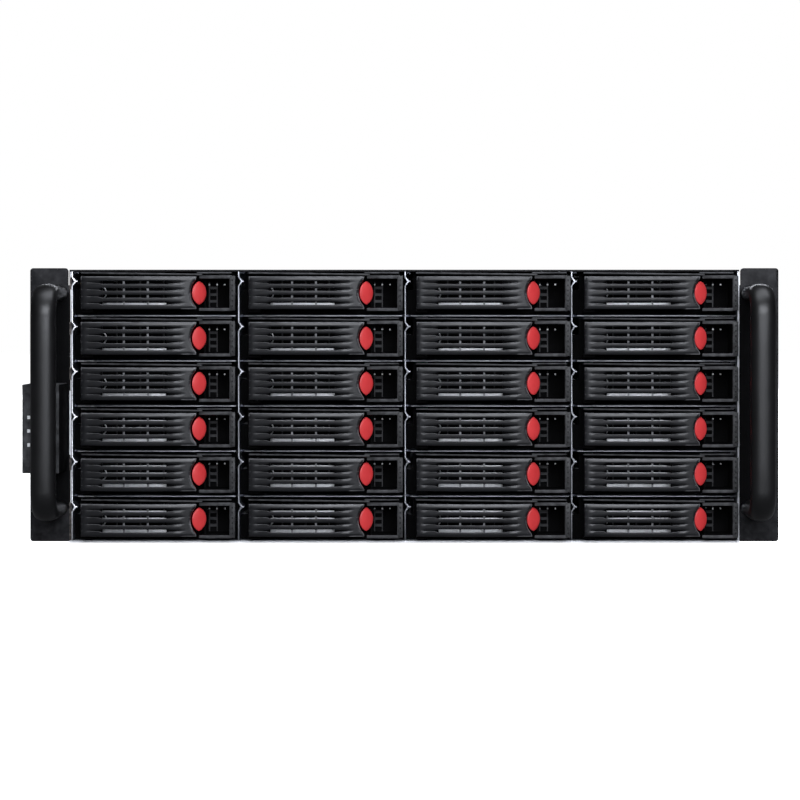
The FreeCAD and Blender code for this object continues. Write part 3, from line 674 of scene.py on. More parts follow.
def front_copy():
    bm = solid_copy(first_tray, is_front, is_rail)
    add_block(bm, in_bay(*BROW_END[0]), in_bay(*BROW_END[1]))
    for v in bm.verts:
        u, y, z = v.co - corner
        if y < LUG_FRONT and z < LUG_LOW:
            v.co.z += LUG_RAISE
        if y < FRAME_FRONT and u < FRAME_LEFT:
            v.co.x -= FRAME_REACH
        on_end = y < BROW_END[0][1] + HAIR
        if FRAME_FRONT < y < LUG_FRONT and z > BROW_LOW and (on_end or u < BROW_RIGHT):
            v.co.z += BROW_RAISE[int(z > BROW_MID)]
    round_edges(bm, FRONT_ROUND)
    wear_and_highlight = bm.verts.layers.float.get("wear_and_highlight")
    for v in bm.verts:
        u, y, z = v.co - corner
        # The frame's upper end beside the key loses its pale edge mark, wear and painted highlight alike.
        if y < LUG_FRONT and u < FRAME_LEFT and UNMARKED[0] < z < UNMARKED[1]:
            v[wear_and_highlight] = 0.0
    return finish_mesh(bm, "tray_front", tray_black)


front_mesh = front_copy()
darken_recess(front_mesh)
print("tray front faces:", len(front_mesh.polygons))

# %% [markdown]
# The rails and the tie are plain steel bars, which are quicker made anew than cut out of the copy. The light
# pipe is an island of its own in the solid, so a copy that keeps only the narrow island gives it.

# %% Sled and light pipe
RAIL_WIDE = mm(2.5, 1.0)
RAIL_TOP, RAIL_ROUND = mm(16.3, 0.2)
TIE_DEEP, TIE_TALL, TIE_BITE, TIE_SET = mm(8.0, 2.0, 0.5, 0.3)
PIPE_MOST, PIPE_ROUND = mm(5.0, 0.3)


def is_pipe(size, low):
    return size.x < PIPE_MOST and low.y < 0


def sled_copy():
    low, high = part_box(first_tray)
    left, right, top = low.x + RAIL_WIDE[0], high.x - RAIL_WIDE[1], corner.z + RAIL_TOP
    tie_low = (left - TIE_BITE, high.y - TIE_DEEP, low.z)
    tie_high = (right + TIE_BITE, high.y - TIE_SET, low.z + TIE_TALL)
    bm = bmesh.new()
    add_bar(bm, (low.x, RAIL_FRONT, low.z), (left, high.y, top), RAIL_ROUND)
    add_bar(bm, (right, RAIL_FRONT, low.z), (high.x, high.y, top), RAIL_ROUND)
    add_bar(bm, tie_low, tie_high, RAIL_ROUND)
    return finish_mesh(bm, "tray_sled", zinc_sheet)


sled_mesh = sled_copy()
pipe_mesh = softened(first_tray, "light_pipe", lens_smoky, PIPE_ROUND, is_pipe)
print("sled and pipe faces:", len(sled_mesh.polygons), len(pipe_mesh.polygons))

# %% [markdown]
# At the back of the pocket a grille of ribs and rungs lets air in. A dark sheet on posts fills the window
# behind the lever, and a dark bar along the top fills the gap below the next shelf: both are in the darker
# black and stand in for the shade seen through the vents. A speckled strip with dimples ends the tray at
# the right. Ribs, rungs, dimples and posts grow on grids that are turned upright, so that they face the
# viewer.

# %% Grille, strip and vent shade of a tray
UPRIGHT = (90, 0, 0)
POCKET_BACK = 9.4 * MM
GRILLE_U, GRILLE_MID, GRILLE_PITCH = mm(89.4, 13.3, 5.0)
GRILLE_RIB = mm(0.7, 16.6, 1.0)
RUNG, RUNG_PITCH = mm(4.6, 1.7, 1.3), 4.35 * MM
STRIP = mm(102.3, -13.35, 3.0), mm(105.6, -11.4, 25.2)
DIMPLE, DIMPLE_PITCH = mm(0.9, 1.2, 0.3), 3.3 * MM
DIMPLE_U, DIMPLE_RAISE = mm(103.9, 0.8)
VENT_SHADE = mm(13.6, 7.4, 4.4), mm(77.1, 8.4, 24.2)
POST, POST_PITCH = mm(1.0, 19.4, 1.2), 15.2 * MM
POST_U, POST_OUT, POST_RAISE = mm(42.2, 0.5, 1.0)
GAP_SHADE = mm(14.0, 6.0, 24.5), mm(103.2, 8.0, 27.85)
STRIP_ROUND, VENT_SHADE_ROUND = mm(0.3, 0.2)


def bar_grid(name, finish, counts, pitches, bar, at):
    values = {"Across": counts[0], "Along": counts[1], "Pitch Across": pitches[0],
              "Pitch Along": pitches[1], "Bar": bar, "Finish": finish}
    return grow(bars_on_grid, name, values, turn=UPRIGHT, move=in_bay(*at))


def bars_mesh(name, finish, *bars):
    bm = bmesh.new()
    for (low, high), radius in bars:
        add_bar(bm, in_bay(*low), in_bay(*high), radius)
    return finish_mesh(bm, name, finish)


ribs = bar_grid("grille_ribs", grille_grey, counts=(2, 1), pitches=(GRILLE_PITCH, 0.0), bar=GRILLE_RIB,
                at=(GRILLE_U, POCKET_BACK - GRILLE_RIB[2] / 2, GRILLE_MID))
rungs = bar_grid("grille_rungs", grille_grey, counts=(1, 3), pitches=(0.0, RUNG_PITCH), bar=RUNG,
                 at=(GRILLE_U, POCKET_BACK - RUNG[2] / 2, GRILLE_MID))
dimples = bar_grid("strip_dimples", tray_black, counts=(1, 6), pitches=(0.0, DIMPLE_PITCH), bar=DIMPLE,
                   at=(DIMPLE_U, STRIP[0][1], GRILLE_MID + DIMPLE_RAISE))
posts = bar_grid("vent_shade_posts", grille_grey, counts=(3, 1), pitches=(POST_PITCH, 0.0), bar=POST,
                 at=(POST_U, VENT_SHADE[0][1] - POST_OUT, GRILLE_MID + POST_RAISE))
strip_mesh = bars_mesh("edge_strip", strip_grey, (STRIP, STRIP_ROUND))
# A dark sheet and bar in the darker black, standing in for the shade behind the vents.
vent_shade_mesh = bars_mesh("vent_shade_sheets", painted_shade_black, (VENT_SHADE, VENT_SHADE_ROUND), (GAP_SHADE, STRIP_ROUND))
front_mesh = merged("tray_front", front_mesh, ribs, rungs, dimples, posts, vent_shade_mesh)
print("tray front with grille:", len(front_mesh.polygons), "faces")

# %% All trays
for place in places:
    tray = "tray_" + place
    put(stamp(front_mesh, place), "tray_front_" + place, tray, "tray_plastic", tray)
    put(stamp(sled_mesh, place), "tray_sled_" + place, tray, "galvanised_sheet")
    put(stamp(pipe_mesh, place), "light_pipe_" + place, tray, "light_lens")
    put(stamp(strip_mesh, place), "edge_strip_" + place, tray, "tray_plastic")
print("trays:", len(places))

# %% [markdown]
# ## Levers
# The lever's plate is bowed, with rows of slits that start as a fine groove, open into windows with
# recessed ribs, and end in a groove again. A sheet with such slits is easiest as a grid whose lines follow
# the slits: we choose the columns along the plate and the lines across it, sink the lines that lie in a
# groove, leave out the cells of the windows, and close the plate with a back and walls. The shoulder above
# each slit leans in a little, as a louvre does, so that it catches less light. In these cells a is the way
# along the plate from its left end, and b the height above its middle.

# %% Sizes of the lever plate, read from the solid
lever_low, lever_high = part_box("lever_r1c1")
PLATE_LEFT = lever_low.x - corner.x
PLATE_LENGTH = lever_high.x - lever_low.x
PLATE_MID = (lever_low.z + lever_high.z) / 2 - corner.z
PLATE_HALF = (lever_high.z - lever_low.z) / 2
PLATE_NOSE = lever_low.y
BOW = 2.9 * MM
PLATE_THICK = 2.0 * MM
SLIT_ROWS = 4
SLIT_PITCH = 4.4 * MM
SLIT_HALF = 1.0 * MM
GROOVE_DEEP = 1.4 * MM
RIB_DEEP = 0.9 * MM
LOUVRE = 0.13
LAND, SHOULDER, LIP_SINK = mm(1.75, 0.28, 0.35)
BED_SHARE = 0.45
SLIT_TIP, WINDOW_START, WINDOW_STOP, SLIT_TAIL = mm(5.0, 14.1, 55.0, 63.9)
OPENING = 2.5 * MM
TIP_HALF, NECK_HALF, TAIL_HALF = mm(0.1, 0.3, 0.06)
END_DEEP, END_STEP = mm(0.5, 0.1)
RIBS = mm(27.9, 43.2)
RIB_WIDE = 1.2 * MM
NOTCH_R = 12.4 * MM
NOTCH_DEEP = 3.7 * MM
EDGE = mm(0.0, 0.25, 0.9, 2.1)
EDGE_SINK = mm(0.9, 0.38, 0.12, 0.0)
print("plate:", [round(size / MM, 1) for size in (PLATE_LENGTH, 2 * PLATE_HALF)])

# %% How the slits widen and sink, and how the plate bows
def ramp(value, stops):
    for (a, first), (b, second) in zip(stops, stops[1:]):
        if value <= b:
            share = max(0.0, (value - a) / (b - a))
            return first + (second - first) * share
    return stops[-1][1]


def slit_half(a):
    return ramp(a, [(SLIT_TIP, TIP_HALF), (WINDOW_START - OPENING, NECK_HALF), (WINDOW_START, SLIT_HALF),
                    (WINDOW_STOP, SLIT_HALF), (SLIT_TAIL, TAIL_HALF)])


def groove_deep(a):
    return ramp(a, [(SLIT_TIP - END_STEP, 0.0), (SLIT_TIP, END_DEEP), (WINDOW_START, GROOVE_DEEP),
                    (WINDOW_STOP, GROOVE_DEEP), (SLIT_TAIL, END_DEEP), (SLIT_TAIL + END_STEP, 0.0)])


def bow_at(a):
    t = 2 * a / PLATE_LENGTH - 1
    return PLATE_NOSE + BOW * t * t


def right_end(b):
    reach = NOTCH_R ** 2 - b * b
    inner = PLATE_LENGTH + NOTCH_R - NOTCH_DEEP - math.sqrt(reach) if reach > 0 else PLATE_LENGTH
    return min(PLATE_LENGTH, inner)


print("bow at the ends:", round((bow_at(0.0) - PLATE_NOSE) / MM, 2))

# %% Columns along the plate
SPARE, RUN_OUT = mm(1.0, 1.5)
TIP_STOP, TAIL_STOP = mm(8.0, 59.0)
WINDOW_CELLS = 4


def plate_columns():
    stops = [*EDGE, SLIT_TIP - SPARE, SLIT_TIP, TIP_STOP, WINDOW_START - OPENING, WINDOW_START]
    inner = WINDOW_START
    for rib in (*RIBS, WINDOW_STOP + RIB_WIDE / 2):
        edge = rib - RIB_WIDE / 2
        stops += [inner + (edge - inner) * k / WINDOW_CELLS for k in range(1, WINDOW_CELLS + 1)]
        inner = edge + RIB_WIDE
        stops.append(inner)
    stops[-1] = WINDOW_STOP + RUN_OUT
    return stops + [TAIL_STOP, SLIT_TAIL, SLIT_TAIL + SPARE]


print("columns:", len(plate_columns()))

# %% Lines across the plate
RIB_REACH = 0.51 * RIB_WIDE


def line_kinds():
    lines = [("rim", -PLATE_HALF + e, sink) for e, sink in zip(EDGE, EDGE_SINK)]
    below = [("land", -1), ("shoulder", -1), ("lip", -1), ("bed", -BED_SHARE)]
    above = [(kind, -side) for kind, side in below[::-1]]
    for k in range(SLIT_ROWS):
        centre = (k - (SLIT_ROWS - 1) / 2) * SLIT_PITCH
        lines += [(kind, centre, side) for kind, side in below + above]
    return lines + [("rim", PLATE_HALF - e, sink) for e, sink in zip(EDGE[::-1], EDGE_SINK[::-1])]


def line_height(line, a):
    kind, centre, side = line
    if kind == "rim":
        return centre
    half = slit_half(a)
    reach = {"land": LAND, "shoulder": half + SHOULDER, "lip": half, "bed": half}[kind]
    return centre + reach * side


def is_rib(a):
    return any(abs(a - rib) <= RIB_REACH for rib in RIBS)


def line_sink(line, a):
    kind, centre, side = line
    if kind == "rim":
        return side
    deep = RIB_DEEP if is_rib(a) else groove_deep(a)
    tilt = LOUVRE * deep if side > 0 else 0.0
    return {"land": 0.0, "shoulder": tilt, "lip": min(LIP_SINK, deep), "bed": deep}[kind]


print("lines:", len(line_kinds()))

# %% [markdown]
# Each crossing of a column and a line gives one point in front and one behind. Past the straight columns the
# plate ends in a round notch, so there the lines run on by shares of what is left to it. The bends along the
# top and in the lower half of the notch, the lower lips of the slits and the beds at the ribs get a painted
# highlight, marked in the `wear_and_highlight` value.

# %% Where the plate gets painted highlights
LEAST_SINK = 0.02 * MM
BEND_SINK = mm(0.3, 0.5)


# Marks returned here are painted highlights: lower lips, rib beds, and the bends at the top and in the
# notch.
def painted_highlight_at(line, sink, a):
    kind, centre, side = line
    if kind == "lip":
        return 1.0 if side < 0 and sink > LEAST_SINK else 0.0
    if kind == "bed":
        return 1.0 if is_rib(a) else 0.0
    on_bend = BEND_SINK[0] < sink < BEND_SINK[1]
    on_top = kind == "rim" and centre > 0
    in_notch = centre < 0 and a > SLIT_TAIL
    return float(on_bend and (on_top or in_notch))


print("bends are worn between depths of", [round(sink / MM, 1) for sink in BEND_SINK])

# %% Points of the plate
END_SHARES = (0.4, 0.75)


def plate_points(columns, lines):
    front, back, highlit = [], [], []
    straight = columns[-1]
    total = columns + [None] * (len(END_SHARES) + len(EDGE))
    for i, a in enumerate(total):
        row_front, row_back, row_highlit = [], [], []
        for line in lines:
            if a is None:
                step = i - len(columns)
                rim = step - len(END_SHARES)
                b = line_height(line, straight)
                end = right_end(b)
                along = end - EDGE[::-1][rim] if rim >= 0 else straight + (end - straight) * END_SHARES[step]
                sink = EDGE_SINK[::-1][rim] if rim >= 0 else 0.0
            else:
                along, b = a, line_height(line, a)
                sink = EDGE_SINK[i] if i < len(EDGE) else 0.0
            sink = max(sink, line_sink(line, along))
            base = bow_at(along)
            x, z = PLATE_LEFT + along, PLATE_MID + b
            row_front.append(in_bay(x, base + sink, z))
            row_back.append(in_bay(x, base + PLATE_THICK, z))
            row_highlit.append(painted_highlight_at(line, sink, along))
        front.append(row_front)
        back.append(row_back)
        highlit.append(row_highlit)
    return front, back, highlit


print("worn points:", round(sum(map(sum, plate_points(plate_columns(), line_kinds())[2]))))

# %% Which cells are windows or lie in a groove
TINY = 1e-9


def is_slit(line0, line1):
    return line0[1] == line1[1] and {line0[0], line1[0]} <= {"lip", "bed"}


def is_window(a0, a1, line0, line1):
    if None in (a0, a1) or a0 < WINDOW_START - TINY or a1 > WINDOW_STOP + TINY:
        return False
    if any(abs((a0 + a1) / 2 - rib) < RIB_WIDE / 2 for rib in RIBS):
        return False
    return is_slit(line0, line1)


def in_groove(a0, a1, line0, line1):
    if None in (a0, a1) or a0 < SLIT_TIP - TINY or a1 > SLIT_TAIL + TINY or is_rib((a0 + a1) / 2):
        return False
    return is_slit(line0, line1)


print("windows run from", round(WINDOW_START / MM, 1), "to", round(WINDOW_STOP / MM, 1))

# %% Build the plate: front, back and walls
def lever_plate(bm):
    columns, lines = plate_columns(), line_kinds()
    front, back, highlit = plate_points(columns, lines)
    wear_and_highlight = bm.verts.layers.float.new("wear_and_highlight")
    f, r = [[[bm.verts.new(p) for p in row] for row in side] for side in (front, back)]
    for i, row in enumerate(highlit):
        for j, value in enumerate(row):
            f[i][j][wear_and_highlight] = value
    wide, tall = len(front), len(lines)
    ends = columns + [None] * (wide - len(columns))
    kept = {(i, j) for i in range(wide - 1) for j in range(tall - 1)
            if not is_window(ends[i], ends[i + 1], lines[j], lines[j + 1])}
    for i, j in sorted(kept):
        a, b, c, d = (i, j), (i + 1, j), (i + 1, j + 1), (i, j + 1)
        skin = bm.faces.new([f[p][q] for p, q in (a, b, c, d)])
        # Cells in a groove get the darker black as painted shade.
        skin.material_index = int(in_groove(ends[i], ends[i + 1], lines[j], lines[j + 1]))
        bm.faces.new([r[p][q] for p, q in (d, c, b, a)])
        walls = (((i, j - 1), a, b), ((i + 1, j), b, c), ((i, j + 1), c, d), ((i - 1, j), d, a))
        for near, (p0, q0), (p1, q1) in walls:
            if near not in kept:
                bm.faces.new([f[p1][q1], f[p0][q0], r[p0][q0], r[p1][q1]])


trial = bmesh.new()
lever_plate(trial)
print("plate faces:", len(trial.faces))
trial.free()

# %% [markdown]
# Behind its plate the lever has a leg, a knuckle round the hinge pin and a catch for the key. They are
# rounded bars and a drilled knuckle, added to the same mesh.

# %% Knuckle round the hinge pin
PIN_AT = mm(10.4, -7.0)
PIN_BORE, KNUCKLE_R, KNUCKLE_RIM = mm(1.5, 3.2, 0.4)
KNUCKLE_SIDES = 32


def full_turn(count):
    return [2 * math.pi * k / count for k in range(count)]


def add_knuckle(bm, z0, z1):
    inner_r, rim = KNUCKLE_R - KNUCKLE_RIM, KNUCKLE_RIM
    levels = [(PIN_BORE, z0), (inner_r, z0), (KNUCKLE_R, z0 + rim), (KNUCKLE_R, z1 - rim), (inner_r, z1),
              (PIN_BORE, z1)]
    u, y = PIN_AT
    rings = []
    for r, z in levels:
        points = [in_bay(u + r * math.cos(t), y + r * math.sin(t), z) for t in full_turn(KNUCKLE_SIDES)]
        rings.append([bm.verts.new(p) for p in points])
    for inner, outer in zip(rings, rings[1:] + rings[:1]):
        for k in range(KNUCKLE_SIDES):
            n = (k + 1) % KNUCKLE_SIDES
            bm.faces.new([inner[k], inner[n], outer[n], outer[k]])


print("knuckle's width:", round(2 * KNUCKLE_R / MM, 1))

# %% Leg and catch, then one lever per bay
LEG_THICK, LEG_BITE, LEG_ROUND = mm(2.0, 0.6, 0.3)
CATCH_U, CATCH_THICK, CATCH_HALF = mm(72.35, 2.0, 4.0)
CATCH_BITE, CATCH_REACH, CATCH_ROUND = mm(1.2, 3.5, 0.4)
pivoting = places[:COLS]


def lever_mesh():
    bm = bmesh.new()
    lever_plate(bm)
    low, high = PLATE_MID - PLATE_HALF, PLATE_MID + PLATE_HALF
    add_knuckle(bm, low, high)
    back = PLATE_NOSE + BOW + PLATE_THICK
    leg = PIN_AT[0] - KNUCKLE_R
    add_bar(bm, in_bay(leg, back - LEG_BITE, low), in_bay(leg + LEG_THICK, PIN_AT[1], high), LEG_ROUND)
    catch_low = in_bay(CATCH_U, back - CATCH_BITE, PLATE_MID - CATCH_HALF)
    catch_high = in_bay(CATCH_U + CATCH_THICK, back + CATCH_REACH, PLATE_MID + CATCH_HALF)
    add_bar(bm, catch_low, catch_high, CATCH_ROUND)
    bmesh.ops.recalc_face_normals(bm, faces=bm.faces)
    return finish_mesh(bm, "lever", lever_grey, painted_shade_black)


def put_in_bays(mesh, name, own_body, slot):
    for place in places:
        moves = place in pivoting
        body = (own_body if moves else "tray_") + place
        put(stamp(mesh, place), name + place, body, slot, *([body] if moves else []))


lever = lever_mesh()
put_in_bays(lever, "lever_plate_", "lever_", "lever_plastic")
print("lever faces:", len(lever.polygons))

# %% [markdown]
# ## Release keys
# The red key is an eye-shaped button whose face turns towards the finger pocket. We loft it: the same eye
# outline is set at several depths, each a little smaller towards the crowned face. A power of the cosine
# makes the eye: 1 gives an ellipse, and more than 1 sharpens its tips.

# %% Outline of a release key
key_low, key_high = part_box("release_r1c1")
KEY_MID = Vector(((key_low.x + key_high.x) / 2, 0.0, corner.z + PLATE_MID))
KEY_HALF_W = (key_high.x - key_low.x) / 2
KEY_HALF_H = (key_high.z - key_low.z) / 2
TIP_SHARP = 1.35
KEY_POINTS = 18


def eye_outline():
    turns = [math.pi * (k / KEY_POINTS - 0.5) for k in range(KEY_POINTS)]
    right = [(KEY_HALF_W * math.cos(t) ** TIP_SHARP, KEY_HALF_H * math.sin(t)) for t in turns]
    return right + [(-x, -z) for x, z in right]


def key_ring(scale, depth, slant):
    outline = [(x * scale, z * scale) for x, z in eye_outline()]
    return [KEY_MID + Vector((x, depth + slant * x, z)) for x, z in outline]


print("key:", round(2 * KEY_HALF_W / MM, 1), "wide,", round(2 * KEY_HALF_H / MM, 1), "tall")

# %% Release keys
KEY_BACK = -3.4 * MM
KEY_FACE = -8.05 * MM
KEY_SLANT = 0.632
CROWN = 0.9 * MM
BACK_LAYERS = ((0.97, 0.0), (1.0, 0.4 * MM))
FACE_LAYERS = ((1.0, 0.55 * MM), (0.985, 0.22 * MM), (0.94, 0.02 * MM), (0.8, 0.0), (0.6, 0.0), (0.35, 0.0),
               (0.12, 0.0))
STEM = mm(-2.2, -0.5, -3.0), mm(3.6, 8.6, 6.0)
STEM_ROUND = 0.3 * MM


def add_rings(bm, rings, closed=True):
    made = [[bm.verts.new(p) for p in ring] for ring in rings]
    for first, second in zip(made, made[1:]):
        for k in range(len(first)):
            n = (k + 1) % len(first)
            bm.faces.new([first[k], first[n], second[n], second[k]])
    if closed:
        bm.faces.new(made[0][::-1])
        bm.faces.new(made[-1])


def key_mesh():
    rings = [key_ring(scale, KEY_BACK - ahead, 0.0) for scale, ahead in BACK_LAYERS]
    for scale, behind in FACE_LAYERS:
        rings.append(key_ring(scale, KEY_FACE + behind - CROWN * (1 - scale * scale), KEY_SLANT))
    bm = bmesh.new()
    add_rings(bm, rings)
    stem = KEY_MID + Vector((0.0, KEY_BACK, 0.0)) + Vector(STEM[0])
    add_bar(bm, stem, stem + Vector(STEM[1]), STEM_ROUND)
    bmesh.ops.recalc_face_normals(bm, faces=bm.faces)
    return finish_mesh(bm, "release_key", key_red, angle=50.0)


key = key_mesh()
put_in_bays(key, "release_key_", "release_", "release_red")
print("key faces:", len(key.polygons))

# %% [markdown]
# ## Drive clip behind the vents
# Through the slits bright steel shows: a clip folded from sheet that holds the drive's front. It has three
# straps along the tray, an upright at either end, a shelf that runs back from its foot, and an eyelet near
# the left end. Three pins at the pocket's grille belong to it too, since they are of the same steel.

# %% Eyelet of a clip
CLIP_U, CLIP_Y = mm(15.0, 72.0), mm(-7.4, -6.4)
EYELET_U, EYELET_R, EYELET_THICK, EYELET_OUT = mm(18.4, 4.1, 0.45, 0.3)
EYELET_POINTS, WIRE_SIDES = 28, 8


def add_eyelet(bm):
    rings = []
    for t in full_turn(EYELET_POINTS):
        ring = []
        for p in full_turn(WIRE_SIDES):
            reach = EYELET_R + EYELET_THICK * math.cos(p)
            y = CLIP_Y[0] - EYELET_OUT + EYELET_THICK * math.sin(p)
            ring.append(in_bay(EYELET_U + reach * math.cos(t), y, PLATE_MID + reach * math.sin(t)))
        rings.append(ring)
    add_rings(bm, rings + rings[:1], closed=False)
    bmesh.ops.remove_doubles(bm, verts=bm.verts, dist=WELD)


print("eyelet's opening:", round(2 * (EYELET_R - EYELET_THICK) / MM, 1))

# %% Drive clips
STRAPS = mm(4.6, 7.9), mm(13.3, 15.25), mm(17.5, 19.9)
END_WIDE, END_Z = 3.0 * MM, mm(4.7, 23.3)
SHELF_SET, SHELF_REAR, SHELF_Z = 0.5 * MM, 5.2 * MM, mm(4.3, 5.2)
CLIP_ROUND = 0.2 * MM
PIN, PIN_U, PIN_Z = mm(0.9, 0.9, 1.6), 91.9 * MM, 19.8 * MM


def clip_bars():
    (u0, u1), (y0, y1) = CLIP_U, CLIP_Y
    for bottom, top in STRAPS:
        yield (u0, y0, bottom), (u1, y1, top)
    for left in (u0, u1 - END_WIDE):
        yield (left, y0, END_Z[0]), (left + END_WIDE, y1, END_Z[1])
    yield (u0, y0 + SHELF_SET, SHELF_Z[0]), (u1, SHELF_REAR, SHELF_Z[1])


def clip_mesh():
    bm = bmesh.new()
    add_eyelet(bm)
    for low, high in clip_bars():
        add_bar(bm, in_bay(*low), in_bay(*high), CLIP_ROUND)
    bmesh.ops.recalc_face_normals(bm, faces=bm.faces)
    return finish_mesh(bm, "drive_clip", bright_steel)


pins = bar_grid("grille_pins", bright_steel, counts=(3, 1), pitches=(GRILLE_PITCH, 0.0), bar=PIN,
                at=(PIN_U, POCKET_BACK - PIN[2] / 2, PIN_Z))
clip = merged("drive_clip", clip_mesh(), pins)
for place in places:
    put(stamp(clip, place), "drive_clip_" + place, "tray_" + place, "galvanised_sheet")
print("clip faces:", len(clip.polygons))

# %% [markdown]
# ## Sheet metal, boards and fans
# These solids have the right shape as they are, so they only get a finish.

# %% Finishes for the solids that stay
KEEP = {
    "chassis_tub": tub_sheet, "rear_panel": zinc_sheet, "slot_covers": zinc_sheet, "fan_wall": zinc_sheet,
    "backplanes": board_green, "backplane_sockets": socket_black, "fan_frames": fan_black,
    "board_standoffs": turned_brass, "pod_board": board_green, "pod_lights": lens_milky,
    "power_button": tray_black, "reset_button": tray_black,
}
for name, material in KEEP.items():
    mesh = nodes[name].data
    mesh.materials.clear()
    mesh.materials.append(material)
print("solids that stay:", len(KEEP))

# %% [markdown]
# The cage's sheets are cut by a laser, which leaves the front edges with a fine rounding. Only the edges in
# the front plane show, so only those are rounded.

# %% Cage walls and shelves
SHEETS = {"cage_walls": ("cage_wall_sheets", 0.2 * MM), "cage_shelves": ("cage_shelf_sheets", 0.34 * MM)}


def sheet_copy(node, radius):
    bm = solid_copy(node)
    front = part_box(node)[0].y
    round_edges(bm, radius, pick=lambda e: all(v.co.y - front < HAIR for v in e.verts))
    return finish_mesh(bm, node, cage_sheet_shaded)


for node, (name, radius) in SHEETS.items():
    put(sheet_copy(node, radius), name, "chassis", "galvanised_sheet", node)
print("cage sheets:", list(SHEETS))

# %% [markdown]
# The covers are painted sheets whose edges were rolled over in the press, so copies with rounded edges stand
# for them. The rear cover's solid has its thumbscrews too, which the copy leaves out.

# %% Covers
COVER_ROUND, LID_ROUND, LID_LEAST = mm(0.25, 0.2, 100.0)
cover_mesh = softened("front_cover", "front_cover", powder_black, COVER_ROUND)
put(cover_mesh, "front_cover_sheet", "chassis", "black_sheet", "front_cover")
lid_mesh = softened("top_cover", "top_cover", powder_black, LID_ROUND, lambda size, low: size.x > LID_LEAST)
put(lid_mesh, "top_cover_sheet", "top_cover", "black_sheet", "top_cover")
print("cover faces:", len(cover_mesh.polygons), len(lid_mesh.polygons))

# %% [markdown]
# Each thumbscrew is turned from a bar, so we turn it too: a profile of distances along and radii, in
# millimetres, goes round the axis. A ring of ridges makes the knurl.

# %% Thumbscrews
THUMB_X, THUMB_Z, THUMB_SET = mm(180.0, 167.0, 10.0)
THUMB_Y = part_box("top_cover")[1].y - THUMB_SET
THUMB_SIDES = 32
THUMB_PROFILE = [(0.0, 4.6), (0.8, 4.6), (0.8, 3.4), (2.2, 3.4), (2.2, 4.5), (2.6, 4.75), (9.2, 4.75),
                 (9.7, 4.3), (10.0, 3.6), (9.6, 2.6)]
KNURL_Y, KNURL_R = mm(5.9, 4.75)
KNURL_RIDGES, KNURL_RIDGE = 36, mm(0.45, 0.42, 6.2)


def add_lathe(bm, centre, profile, count, way=1):
    x, y, z = centre
    add_rings(bm, [[(x + r * MM * math.cos(t), y + way * along * MM, z + r * MM * math.sin(t))
                    for t in full_turn(count)] for along, r in profile])


def thumbscrew_mesh(x):
    bm = bmesh.new()
    add_lathe(bm, (x, THUMB_Y, THUMB_Z), THUMB_PROFILE, THUMB_SIDES)
    bmesh.ops.recalc_face_normals(bm, faces=bm.faces)
    values = {"Ridges": KNURL_RIDGES, "Radius": KNURL_R, "Ridge": KNURL_RIDGE, "Finish": screw_zinc}
    knurl = grow(ridges_on_ring, "knurl", values, turn=UPRIGHT, move=(x, THUMB_Y + KNURL_Y, THUMB_Z))
    return merged("thumbscrew", finish_mesh(bm, "thumbscrew", screw_zinc), knurl)


thumbs = merged("thumbscrews", thumbscrew_mesh(-THUMB_X), thumbscrew_mesh(THUMB_X))
put(thumbs, "thumbscrews", "top_cover", "galvanised_sheet")
print("thumbscrew faces:", len(thumbs.polygons))

# %% [markdown]
# ## Fan rotors
# A fan's blades are twisted and cambered, which a lofted grid shows better than flat plates: each blade is a
# row of curved sections from the hub to the tip. The hub is a lathe profile with a rounded rim.

# %% Section of a fan blade
BLADE_ROOT, BLADE_TIP = mm(19.0, 54.6)
CHORD, CAMBER, BLADE_THICK = mm(26.0, 2.2, 1.3)
ROOT_SHARE, THINNING = 0.86, 0.75
PITCH_ROOT, PITCH_TIP = math.radians(44), math.radians(30)
SECTION_STEPS = 8


def blade_section(share, side):
    reach = BLADE_ROOT + (BLADE_TIP - BLADE_ROOT) * share
    pitch = PITCH_ROOT + (PITCH_TIP - PITCH_ROOT) * share
    points = []
    for k in range(SECTION_STEPS + 1):
        t = 2 * k / SECTION_STEPS - 1
        along = t * CHORD / 2 * (ROOT_SHARE + (1 - ROOT_SHARE) * share)
        out = CAMBER * (1 - t * t) - CAMBER / 2 + side * BLADE_THICK / 2 * (1 - THINNING * t * t)
        points.append((along * math.cos(pitch) - out * math.sin(pitch),
                       along * math.sin(pitch) + out * math.cos(pitch), reach))
    return points


print("points per section:", 2 * len(blade_section(0.0, 1)))

# %% Fan rotors
FAN_Z = 76.0 * MM
BLADES = 5
SECTIONS = (0.0, 0.25, 0.5, 0.75, 0.95, 1.0)
HUB_PROFILE = [(0.0, 19.2), (0.0, 19.6), (17.6, 19.6), (18.6, 19.0), (19.0, 17.8), (19.0, 6.0), (18.6, 5.6)]
HUB_SIDES = 40


def rotor_mesh(node):
    low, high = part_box(node)
    centre = Vector(((low.x + high.x) / 2, (low.y + high.y) / 2, FAN_Z))
    bm = bmesh.new()
    add_lathe(bm, (centre.x, high.y, centre.z), HUB_PROFILE, HUB_SIDES, way=-1)
    for turn in full_turn(BLADES):
        spin = Matrix.Rotation(turn, 3, "Y")
        rings = []
        for share in SECTIONS:
            loop = blade_section(share, -1) + blade_section(share, 1)[::-1]
            rings.append([centre + spin @ Vector(p) for p in loop])
        add_rings(bm, rings)
    bmesh.ops.recalc_face_normals(bm, faces=bm.faces)
    return finish_mesh(bm, node, fan_black, angle=40.0)


rotors = [f"fan_rotor_{number}" for number in (1, 2, 3)]
for node in rotors:
    put(rotor_mesh(node), node.replace("rotor", "blades"), node, "fan_plastic", node)
print("rotors:", rotors)

# %% [markdown]
# ## Contacts and screws
# Each drive socket has two rows of gold contacts, grown on a grid and stamped behind every bay. The screws
# are listed by where they sit: a list of points and the way that they face.

